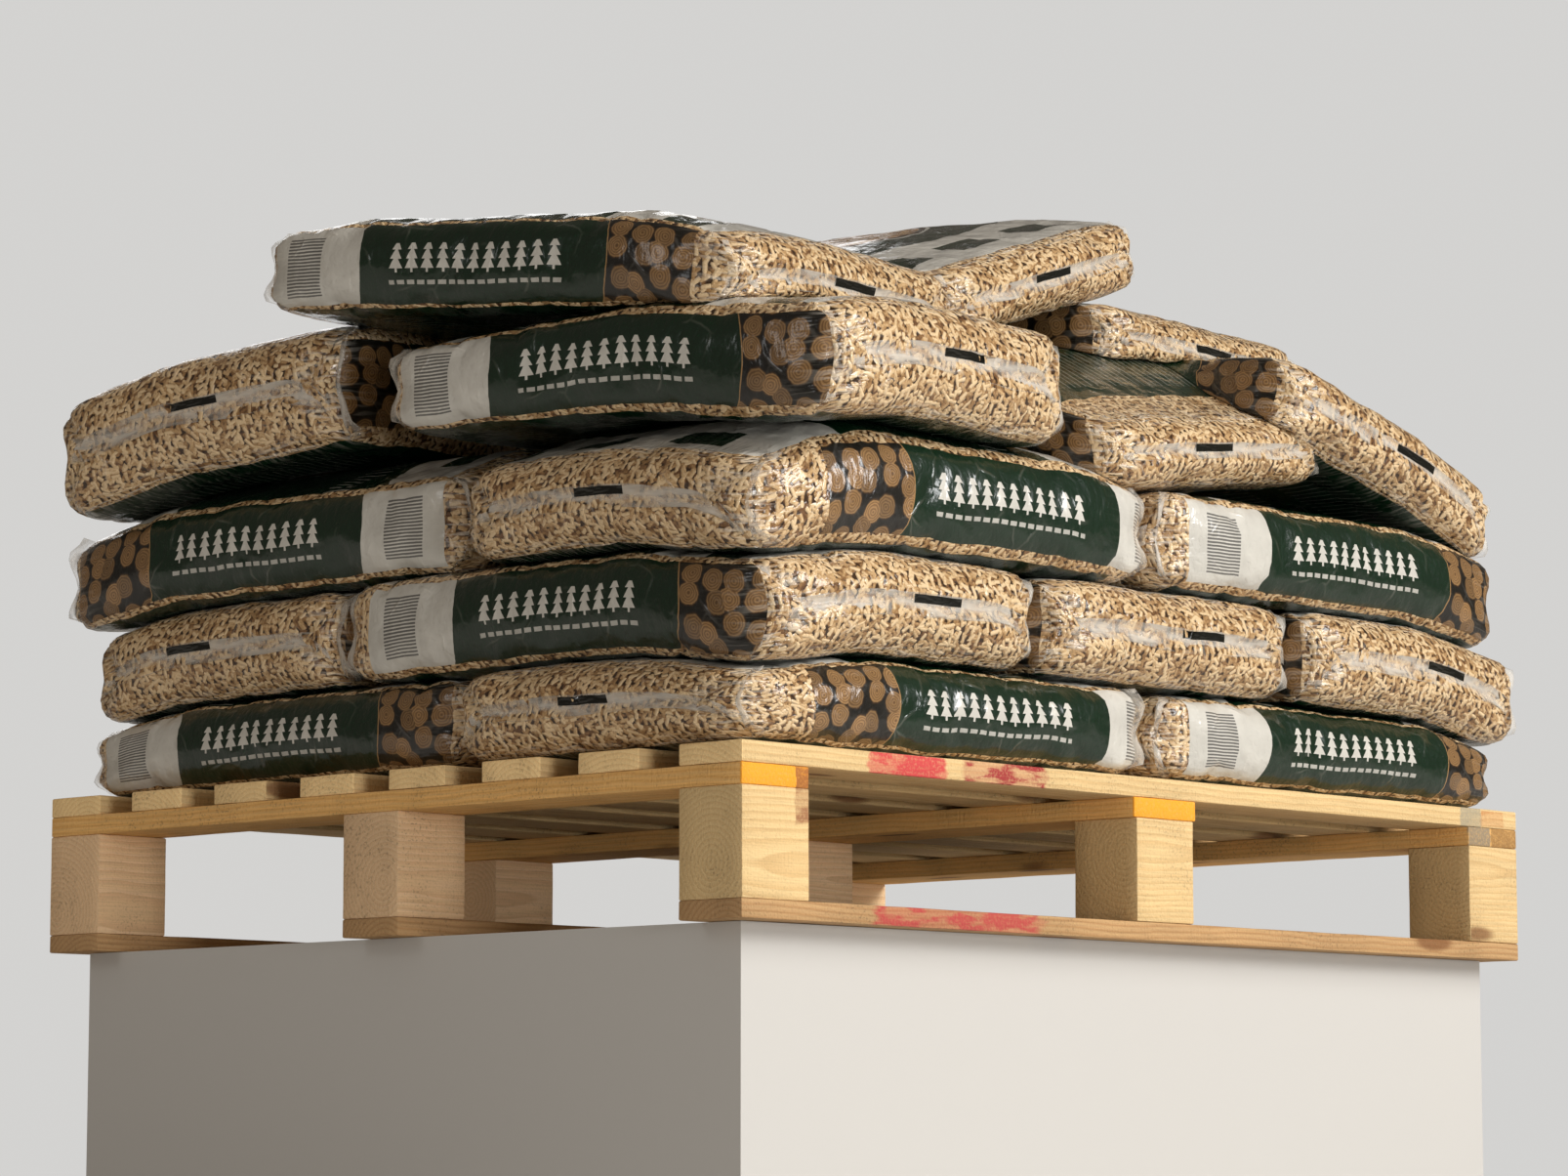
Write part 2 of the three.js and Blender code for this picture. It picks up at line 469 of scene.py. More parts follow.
@dataclass(frozen=True)
class MainPrint:
    """The print on a sack's two main faces: a pale panel with green bands and a round picture.

    The round picture is a log end with its rings.
    """

    half_width: float = 188 * MM
    length: float = 525 * MM
    green_from: float = 92 * MM
    green_to: float = 392 * MM
    disc: float = 104 * MM

    def add_to(self, tree: bpy.types.NodeTree, film: bpy.types.NodeSocket, ink: Ink) -> tuple:
        """Draws the panel.

        Args:
            tree: the material's node tree.
            film: film coordinates in metres.
            ink: the inks.

        Returns:
            The ink's colour and where there is ink, from 0 to 1.
        """
        axes = add_node(tree, "SeparateXYZ", (film,))
        along, across = axes.outputs[0], axes.outputs[1]
        share = add_node(tree, "Math", (across, 1 / self.half_width), operation="MULTIPLY")
        square = add_node(tree, "Math", (share, share), operation="MULTIPLY")
        bent = add_node(tree, "Math", (square, -46 * MM, along), operation="MULTIPLY_ADD")
        middle = (self.green_from + self.green_to) / 2
        half = (self.green_to - self.green_from) / 2
        green = add_node(tree, "Math", (bent, middle, half), operation="COMPARE")
        colour = add_node(
            tree, "Mix", {0: green, 6: linear(ink.white), 7: linear(ink.green)}, data_type="RGBA"
        )
        colour = self.add_lines(tree, along, across, colour, ink)
        colour = self.add_disc(tree, along, across, colour, ink)
        level = add_node(tree, "Math", (share,), operation="ABSOLUTE")
        wide = add_node(tree, "Math", (level, 1.0), operation="LESS_THAN")
        start = add_node(tree, "Math", (along, 0.0), operation="GREATER_THAN")
        stop = add_node(tree, "Math", (along, self.length), operation="LESS_THAN")
        inked = add_chain(tree, "Math", wide, ("MULTIPLY", start), ("MULTIPLY", stop))
        return colour, inked

    def add_lines(self, tree: bpy.types.NodeTree, along, across, under, ink: Ink):
        """Draws the fine pale lines on the green and the green bars on the white.

        Args:
            tree: the material's node tree.
            along: distance along the film.
            across: distance from the panel's middle line.
            under: the colour so far.
            ink: the inks.

        Returns:
            The colour.
        """
        wave = add_chain(tree, "Math", across, ("MULTIPLY", 1 / (11 * MM)), ("FRACT",))
        fine = add_node(tree, "Math", (wave, 0.2), operation="LESS_THAN")
        zone = add_node(tree, "Math", (along, 366 * MM, 20 * MM), operation="COMPARE")
        fine = add_chain(tree, "Math", fine, ("MULTIPLY", zone), ("MULTIPLY", 0.8))
        colour = add_node(
            tree, "Mix", {0: fine, 6: under.outputs[2], 7: linear(ink.white)}, data_type="RGBA"
        )
        far = add_chain(tree, "Math", along, ("SUBTRACT", self.length / 2), ("ABSOLUTE",))
        zone = add_node(tree, "Math", (far, 216 * MM, 20 * MM), operation="COMPARE")
        wave = add_chain(tree, "Math", across, ("MULTIPLY", 1 / (130 * MM)), ("FRACT",))
        block = add_chain(tree, "Math", wave, ("LESS_THAN", 0.56), ("MULTIPLY", zone))
        return add_node(
            tree, "Mix", {0: block, 6: colour.outputs[2], 7: linear(ink.green)}, data_type="RGBA"
        )

    def add_disc(self, tree: bpy.types.NodeTree, along, across, under, ink: Ink):
        """Draws a log end in the middle of the green.

        Args:
            tree: the material's node tree.
            along: distance along the film.
            across: distance from the panel's middle line.
            under: the colour so far.
            ink: the inks.

        Returns:
            The colour socket.
        """
        centre = (self.green_from + self.green_to) / 2 - 20 * MM
        shifted = add_node(tree, "Math", (along, centre), operation="SUBTRACT")
        spot = add_node(tree, "CombineXYZ", (shifted, across, 0.0))
        wobble = add_node(
            tree, "TexNoise", {"Vector": spot, "Scale": 1 / (70 * MM)}, noise_dimensions="2D"
        )
        reach = add_node(tree, "VectorMath", (spot,), operation="LENGTH").outputs["Value"]
        reach = add_node(tree, "Math", (wobble, 16 * MM, reach), operation="MULTIPLY_ADD")
        share = add_node(tree, "Math", (reach, 1 / self.disc), operation="MULTIPLY")
        ramp = add_node(tree, "ValToRGB", (share,))
        ramp.color_ramp.interpolation = "CONSTANT"
        rings = ("#c89d63", "#a87a45")
        stops = [(i * 0.085, rings[i % 2]) for i in range(10)]
        set_ramp(ramp, stops + [(0.86, ink.bark), (0.93, ink.white)])
        inside = add_node(tree, "Math", (share, 0.97), operation="LESS_THAN")
        colour = add_node(
            tree, "Mix", {0: inside, 6: under.outputs[2], 7: ramp}, data_type="RGBA"
        )
        return colour.outputs[2]


@dataclass(frozen=True)
class BackPrint:
    """The print on the sack's back: a green panel with blocks of fine pale lines."""

    half_width: float = 186 * MM
    length: float = 525 * MM
    pitch: float = 10 * MM

    def add_to(self, tree: bpy.types.NodeTree, film: bpy.types.NodeSocket, ink: Ink) -> tuple:
        """Draws the panel.

        Args:
            tree: the material's node tree.
            film: film coordinates in metres.
            ink: the inks.

        Returns:
            The ink's colour and where there is ink, from 0 to 1.
        """
        axes = add_node(tree, "SeparateXYZ", (film,))
        along, across = axes.outputs[0], axes.outputs[1]
        wave = add_chain(tree, "Math", across, ("MULTIPLY", 1 / self.pitch), ("FRACT",))
        line = add_node(tree, "Math", (wave, 0.16), operation="LESS_THAN")
        blocks = add_chain(tree, "Math", along, ("MULTIPLY", 1 / (120 * MM)), ("FRACT",))
        block = add_node(tree, "Math", (blocks, 0.52, 0.33), operation="COMPARE")
        line = add_node(tree, "Math", (line, block), operation="MULTIPLY")
        wide = add_node(tree, "Math", (across, 0.0, 0.8 * self.half_width), operation="COMPARE")
        line = add_chain(tree, "Math", line, ("MULTIPLY", wide), ("MULTIPLY", 0.3))
        colour = add_node(
            tree, "Mix", {0: line, 6: linear(ink.green), 7: linear(ink.white)}, data_type="RGBA"
        )
        wide = add_node(tree, "Math", (across, 0.0, self.half_width), operation="COMPARE")
        long = add_node(
            tree, "Math", (along, self.length / 2, self.length / 2), operation="COMPARE"
        )
        inked = add_node(tree, "Math", (wide, long), operation="MULTIPLY")
        return colour.outputs[2], inked


@dataclass(frozen=True)
class EndMark:
    """The short black registration bar on the weld across each end."""

    half_length: float = 33 * MM
    half_height: float = 4 * MM
    depth: float = 5.5 * MM
    black: str = "#14140f"

    def add_to(self, tree: bpy.types.NodeTree, film: bpy.types.NodeSocket) -> bpy.types.Node:
        """Draws the bar.

        Args:
            tree: the material's node tree.
            film: film coordinates in metres, down from the weld's upper edge.

        Returns:
            A node that gives where there is ink, from 0 to 1.
        """
        axes = add_node(tree, "SeparateXYZ", (film,))
        wide = add_node(tree, "Math", (axes.outputs[0], 0.0, self.half_length), operation="COMPARE")
        tall = add_node(
            tree, "Math", (axes.outputs[1], self.depth, self.half_height), operation="COMPARE"
        )
        return add_node(tree, "Math", (wide, tall), operation="MULTIPLY")


@dataclass(frozen=True)
class SackFilm:
    """Clear polythene film, blown as a gusseted tube, printed and welded at its ends.

    It is glossy and creased, and it lies on the pellets: they show through it and lift it
    a little. Near the ends it is gathered and looks whitish, from its own haze and from
    painted glints along its streaks and creases.
    """

    fill: PelletFill = PelletFill()
    ink: Ink = Ink()
    # Whitish colour for the film's own haze and for painted glints.
    haze_and_glint_white: str = "#e6dfd2"
    coat_roughness: float = 0.15
    dull: float = 0.2
    film_lift: float = 0.24
    ink_hold: float = 0.5
    streak: tuple[float, float] = (34 * MM, 4.2 * MM)
    swell: float = 42 * MM
    fold: float = 52 * MM
    crumple: tuple[float, float] = (11 * MM, 24 * MM)
    streak_rise: float = 3.2 * MM
    swell_rise: float = 4 * MM
    crumple_rise: float = 1.0 * MM
    crease_rise: float = 0.5 * MM
    film_ior: float = 1.5

    def add_wrinkles(self, tree: bpy.types.NodeTree, film, gathered) -> tuple:
        """Makes the film's own relief.

        Args:
            tree: the material's node tree.
            film: film coordinates in metres.
            gathered: how much the film is gathered, from 0 to 1.

        Returns:
            The relief's height in metres, the whitish streaks from 0 to 1, which carry haze and
            painted glints, and the sharp creases from 0 to 1.
        """
        stretched = add_node(
            tree, "Mapping", {"Vector": film, "Scale": (1 / self.streak[0], 1 / self.streak[1], 1.0)}
        )
        streaks = add_node(
            tree, "TexNoise", {"Vector": stretched, "Scale": 1.0, "Detail": 1.5}
        )
        streak = add_node(tree, "Math", (streaks, gathered), operation="MULTIPLY")
        swell = add_node(
            tree, "TexNoise", {"Vector": film, "Scale": 1 / self.swell, "Detail": 2.0}
        )
        warp = add_node(
            tree, "VectorMath", (swell.outputs["Color"], (0.02, 0.02, 0.0)), operation="MULTIPLY"
        )
        bent = add_node(tree, "VectorMath", (film, warp), operation="ADD")
        folds = add_node(
            tree, "TexVoronoi", {"Vector": bent, "Scale": 1 / self.fold, "Randomness": 1.0},
            feature="DISTANCE_TO_EDGE", voronoi_dimensions="2D",
        )
        crease = add_node(
            tree, "MapRange", (folds, 0.0, 0.05, 1.0, 0.0), interpolation_type="SMOOTHSTEP"
        )
        patchy = add_node(tree, "MapRange", (swell, 0.5, 0.68))
        crease = add_node(tree, "Math", (crease, patchy), operation="MULTIPLY")
        squeezed = (1 / self.crumple[0], 1 / self.crumple[1], 1.0)
        crumple = add_node(tree, "Mapping", {"Vector": bent, "Scale": squeezed})
        crumple = add_node(tree, "TexNoise", {"Vector": crumple, "Scale": 1.0, "Detail": 2.5})
        height = add_node(tree, "Math", (streak, self.streak_rise), operation="MULTIPLY")
        height = add_node(tree, "Math", (swell, self.swell_rise, height), operation="MULTIPLY_ADD")
        height = add_node(tree, "Math", (crumple, self.crumple_rise, height), operation="MULTIPLY_ADD")
        height = add_node(tree, "Math", (crease, self.crease_rise, height), operation="MULTIPLY_ADD")
        # Where haze and painted glints lie, along the streaks of gathered film.
        streak_haze_and_glints = add_node(
            tree, "MapRange", (streaks, 0.48, 0.62), interpolation_type="SMOOTHSTEP"
        )
        streak_haze_and_glints = add_node(tree, "Math", (streak_haze_and_glints, gathered), operation="MULTIPLY")
        return height, streak_haze_and_glints, crease

    def material(self, name: str, artwork=None) -> bpy.types.Material:
        """Makes the material of one kind of panel.

        Args:
            name: the material's name.
            artwork: the panel's print, or None where the film is clear.

        Returns:
            The material.
        """
        material, tree, shader = new_material(name)
        film = add_node(tree, "UVMap", uv_map="film").outputs[0]
        under = add_node(tree, "UVMap", uv_map="fill").outputs[0]
        gathered = add_node(tree, "Attribute", attribute_name="gathered").outputs["Fac"]
        pellet_height, pellets = self.fill.add_to(tree, under)
        inks, inked = artwork.add_to(tree, film, self.ink) if artwork else (pellets, 0.0)
        calm = add_node(tree, "Math", (inked, -self.ink_hold, 1.0), operation="MULTIPLY_ADD")
        gathered = add_node(tree, "Math", (gathered, calm), operation="MULTIPLY")
        relief, streak_haze_and_glints, crease = self.add_wrinkles(tree, film, gathered)

        # Haze and painted glints on clear film: its colour goes towards whitish along streaks and
        # creases.
        bare = add_node(tree, "Math", (streak_haze_and_glints, 0.55), operation="MULTIPLY")
        bare = add_node(tree, "Math", (crease, 0.22, bare), operation="MULTIPLY_ADD")
        clear_film_with_glints = add_node(
            tree, "Mix", {0: bare, 6: pellets, 7: linear(self.haze_and_glint_white)}, data_type="RGBA"
        )
        # Haze and painted glints on the ink, the same as on clear film but weaker along creases.
        ink_glint_amount = add_node(tree, "Math", (streak_haze_and_glints, 0.5), operation="MULTIPLY")
        ink_glint_amount = add_node(tree, "Math", (crease, 0.08, ink_glint_amount), operation="MULTIPLY_ADD")
        overlay = add_node(
            tree, "Mix", {0: ink_glint_amount, 6: inks, 7: linear(self.haze_and_glint_white)}, data_type="RGBA"
        )
        colour = add_node(
            tree, "Mix", {0: inked, 6: clear_film_with_glints.outputs[2], 7: overlay.outputs[2]}, data_type="RGBA"
        )
        # Painted shade and light on the print: darker in the low places of the film's relief, a little
        # lighter on its high places.
        relief_shade_and_light = add_node(tree, "MapRange", (relief, 1.4 * MM, 4.2 * MM, 0.78, 1.08))
        relief_shade_and_light = add_node(tree, "Mix", {0: inked, 2: 1.0, 3: relief_shade_and_light})
        colour = add_node(
            tree, "VectorMath", {0: colour.outputs[2], "Scale": relief_shade_and_light}, operation="SCALE"
        )
        rough = add_node(tree, "MapRange", (inked, 0.0, 1.0, 0.72, 0.42))
        shown = add_node(tree, "MapRange", (inked, 0.0, 1.0, 0.85, 0.10))
        lumps = add_node(tree, "Math", (pellet_height, shown), operation="MULTIPLY")
        film_bump = add_node(tree, "Bump", {"Strength": 1.0, "Distance": 1.0, "Height": relief})
        under_bump = add_node(
            tree, "Bump", {"Strength": 1.0, "Distance": 1.0, "Height": lumps, "Normal": film_bump}
        )
        over_bump = add_node(
            tree, "Mix", {0: self.film_lift, 4: film_bump, 5: under_bump}, data_type="VECTOR"
        ).outputs[1]
        over_bump = add_node(tree, "VectorMath", (over_bump,), operation="NORMALIZE")
        feed(
            tree, shader, Base_Color=colour, Roughness=rough, IOR=self.film_ior,
            Specular_IOR_Level=self.dull, Normal=under_bump, Coat_Weight=1.0,
            Coat_Roughness=self.coat_roughness, Coat_IOR=self.film_ior, Coat_Normal=over_bump,
        )
        return material


@dataclass(frozen=True)
class SeamFilm:
    """The empty film beyond the welds: two layers stuck together, clear and crumpled."""

    colour: str = "#e9e3d8"
    clear: float = 0.06
    white: float = 0.46
    mark: EndMark = EndMark()

    def material(self, name: str) -> bpy.types.Material:
        """Makes the material.

        Args:
            name: the material's name.

        Returns:
            The material.
        """
        material, tree, shader = new_material(name)
        film = add_node(tree, "UVMap", uv_map="film").outputs[0]
        stretched = add_node(
            tree, "Mapping", {"Vector": film, "Scale": (1 / (46 * MM), 1 / (11 * MM), 1.0)}
        )
        crumple = add_node(tree, "TexNoise", {"Vector": stretched, "Scale": 1.0, "Detail": 2.0})
        height = add_node(tree, "Math", (crumple, 4 * MM), operation="MULTIPLY")
        bump = add_node(tree, "Bump", {"Strength": 1.0, "Distance": 1.0, "Height": height})
        alpha = add_node(
            tree, "MapRange", (crumple, 0.3, 0.7, self.clear, self.white),
            interpolation_type="SMOOTHSTEP",
        )
        inked = self.mark.add_to(tree, film)
        alpha = add_node(tree, "Math", (alpha, inked), operation="MAXIMUM")
        colour = add_node(
            tree, "Mix", {0: inked, 6: linear(self.colour), 7: linear(self.mark.black)},
            data_type="RGBA",
        )
        feed(
            tree, shader, Base_Color=colour.outputs[2], Roughness=0.22, IOR=1.5,
            Alpha=alpha, Normal=bump,
        )
        return material


@dataclass(frozen=True)
class SawnPine:
    """Rough-sawn pine, straight from the saw: yearly rings, fine fibre, knots and torn specks.

    The rings follow each piece's own log. They show as arcs on the end grain, and faintly on
    the faces. End grain is darker than the faces, except where painted light makes it lighter.
    """

    early: str = "#e8ca94"
    late: str = "#c99a5e"
    knot: str = "#7a4e2c"
    dirt: str = "#5b4a36"
    ring: float = 5.2 * MM
    shade: float = 1.0
    # Below 1 the end grain's own darker tone; above 1 painted light that makes the end grain lighter.
    end_grain_tone_and_light: float = 0.94
    fibre: tuple[float, float] = (60 * MM, 1.4 * MM)
    knots: tuple[float, float] = (260 * MM, 75 * MM)
    teeth: tuple[float, float] = (3.2 * MM, 50 * MM)
    fuzz: float = 2.6 * MM
    grime: float = 80 * MM

    def add_rings(self, tree: bpy.types.NodeTree, log, overlay, cut) -> bpy.types.NodeSocket:
        """Colours the wood by its rings, fibre and knots.

        Args:
            tree: the material's node tree.
            log: place in the log, along the grain and across from the pith, in metres.
            overlay: slow noise that bends the rings.
            cut: 1 on end grain, otherwise 0.

        Returns:
            The colour socket.
        """
        axes = add_node(tree, "SeparateXYZ", (log,))
        flat = add_node(tree, "CombineXYZ", (0.0, axes.outputs[1], axes.outputs[2]))
        reach = add_node(tree, "VectorMath", (flat,), operation="LENGTH").outputs["Value"]
        bent = add_node(tree, "Math", (overlay, 14 * MM, reach), operation="MULTIPLY_ADD")
        years = add_node(tree, "Math", (bent, 1 / self.ring), operation="MULTIPLY")
        season = add_node(tree, "Math", (years,), operation="FRACT")
        ramp = add_node(tree, "ValToRGB", (season,))
        set_ramp(ramp, [
            (0.0, self.early), (0.45, "#dfbb85"), (0.8, self.late), (0.93, "#bd8b50"),
            (1.0, self.early),
        ])
        strength = add_node(tree, "MapRange", (cut, 0.0, 1.0, 0.36, 0.30))
        ringed = add_node(
            tree, "Mix", {0: strength, 6: linear(self.early), 7: ramp}, data_type="RGBA"
        )
        squeezed = add_node(
            tree, "Mapping",
            {"Vector": log, "Scale": (1 / self.fibre[0], 1 / self.fibre[1], 1 / self.fibre[1])},
        )
        fibre = add_node(tree, "TexNoise", {"Vector": squeezed, "Scale": 1.0, "Detail": 3.0})
        tint = add_node(tree, "MapRange", (fibre, 0.25, 0.75, 0.84, 1.08))
        own = add_node(tree, "TexNoise", {"Vector": log, "Scale": 0.9, "Detail": 1.0})
        pale = add_node(tree, "MapRange", (own, 0.3, 0.7, 0.86 * self.shade, 1.06 * self.shade))
        # Scales the end grain's colour: its own darker tone, or painted light where the factor is above
        # 1.
        dark = add_node(tree, "MapRange", (cut, 0.0, 1.0, 1.0, self.end_grain_tone_and_light))
        tint = add_chain(tree, "Math", tint, ("MULTIPLY", pale), ("MULTIPLY", dark))
        wood = add_node(
            tree, "VectorMath", {0: ringed.outputs[2], "Scale": tint}, operation="SCALE"
        )
        spaced = add_node(
            tree, "Mapping",
            {"Vector": log, "Scale": (1 / self.knots[0], 1 / self.knots[1], 1 / self.knots[1])},
        )
        knots = add_node(
            tree, "TexVoronoi", {"Vector": spaced, "Scale": 1.0, "Randomness": 1.0}
        )
        eye = add_node(
            tree, "MapRange", (knots.outputs["Distance"], 0.09, 0.16, 0.8, 0.0),
            interpolation_type="SMOOTHSTEP",
        )
        side = add_node(tree, "Math", (1.0, cut), operation="SUBTRACT")
        eye = add_node(tree, "Math", (eye, side), operation="MULTIPLY")
        return add_node(
            tree, "Mix", {0: eye, 6: wood, 7: linear(self.knot)}, data_type="RGBA"
        ).outputs[2]

    def material(self, name: str, marks=()) -> bpy.types.Material:
        """Makes the material.

        Args:
            name: the material's name.
            marks: the marks on this timber.

        Returns:
            The material.
        """
        material, tree, shader = new_material(name)
        log = add_node(tree, "Attribute", attribute_name="log").outputs["Vector"]
        cut = add_node(tree, "Attribute", attribute_name="end_grain").outputs["Fac"]
        where = add_node(tree, "TexCoord").outputs["Object"]
        slow = add_node(tree, "TexNoise", {"Vector": log, "Scale": 1 / (160 * MM), "Detail": 2.0})
        colour = self.add_rings(tree, log, slow, cut)
        sawn = add_node(
            tree, "Mapping",
            {"Vector": log, "Scale": (1 / self.teeth[0], 1 / self.teeth[1], 1 / self.teeth[1])},
        )
        teeth = add_node(tree, "TexNoise", {"Vector": sawn, "Scale": 1.0, "Detail": 2.0})
        fuzz = add_node(tree, "TexNoise", {"Vector": log, "Scale": 1 / self.fuzz, "Detail": 3.0})
        grime = add_node(tree, "TexNoise", {"Vector": where, "Scale": 1 / self.grime, "Detail": 4.0})
        speck = add_node(
            tree, "MapRange", (fuzz, 0.54, 0.68, 0.0, 0.5), interpolation_type="SMOOTHSTEP"
        )
        grimy = add_node(
            tree, "MapRange", (grime, 0.44, 0.68, 0.2, 0.8), interpolation_type="SMOOTHSTEP"
        )
        soiled = add_node(tree, "Math", (speck, grimy), operation="MULTIPLY")
        soiled = add_node(tree, "Math", (grimy, 0.17, soiled), operation="MULTIPLY_ADD")
        colour = add_node(
            tree, "Mix", {0: soiled, 6: colour, 7: linear(self.dirt)}, data_type="RGBA"
        ).outputs[2]
        for mark in marks:
            colour = mark.add_to(tree, where, fuzz, colour)
        height = add_node(tree, "Math", (teeth, 0.7 * MM), operation="MULTIPLY")
        height = add_node(tree, "Math", (fuzz, 1.2 * MM, height), operation="MULTIPLY_ADD")
        bump = add_node(tree, "Bump", {"Strength": 0.8, "Distance": 1.0, "Height": height})
        feed(tree, shader, Base_Color=colour, Roughness=0.85, IOR=1.45, Normal=bump)
        return material


@dataclass(frozen=True)
class WoodMark:
    """A mark on raw wood: paint rubbed or sprayed on, a weathered patch or torn fibre.

    It covers a stretch of the wood's surface, given by its lowest and highest corners, and
    it is broken up in streaks along the grain.
    """

    colour: str
    low: tuple[float, float, float]
    high: tuple[float, float, float]
    cover: float = 0.9
    gaps: float = 0.0

    def add_to(self, tree: bpy.types.NodeTree, where, fuzz, under) -> bpy.types.NodeSocket:
        """Lays the mark over the wood.

        Args:
            tree: the material's node tree.
            where: place on the object, in metres.
            fuzz: the wood's fine relief.
            under: the wood's colour.

        Returns:
            The colour socket.
        """
        middle = tuple((a + b) / 2 for a, b in zip(self.low, self.high))
        half = tuple((b - a) / 2 for a, b in zip(self.low, self.high))
        centred = add_node(tree, "VectorMath", (where, middle), operation="SUBTRACT")
        sized = add_node(tree, "VectorMath", (centred, half), operation="DIVIDE")
        away = add_node(tree, "VectorMath", (sized,), operation="ABSOLUTE")
        axes = add_node(tree, "SeparateXYZ", (away,))
        far = add_node(tree, "Math", (axes.outputs[0], axes.outputs[2]), operation="MAXIMUM")
        brushed = add_node(
            tree, "Mapping", {"Vector": where, "Scale": (1 / (42 * MM), 1.0, 1 / (9 * MM))}
        )
        patch = add_node(tree, "TexNoise", {"Vector": brushed, "Scale": 1.0, "Detail": 4.0})
        edge = add_node(tree, "Math", (patch, 0.5, far), operation="MULTIPLY_ADD")
        inside = add_node(
            tree, "MapRange", (edge, 1.18, 1.3, self.cover, 0.0), interpolation_type="SMOOTHSTEP"
        )
        facing = add_node(tree, "Math", (axes.outputs[1], 1.0), operation="LESS_THAN")
        held = add_node(
            tree, "MapRange", (patch, 0.34 + 0.2 * self.gaps, 0.4 + 0.24 * self.gaps, 1 - self.gaps, 1.0)
        )
        broken = add_node(tree, "MapRange", (fuzz, 0.35, 0.5, 0.7, 1.0))
        amount = add_chain(
            tree, "Math", inside, ("MULTIPLY", facing), ("MULTIPLY", held), ("MULTIPLY", broken),
        )
        return add_node(
            tree, "Mix", {0: amount, 6: under, 7: linear(self.colour)}, data_type="RGBA"
        ).outputs[2]


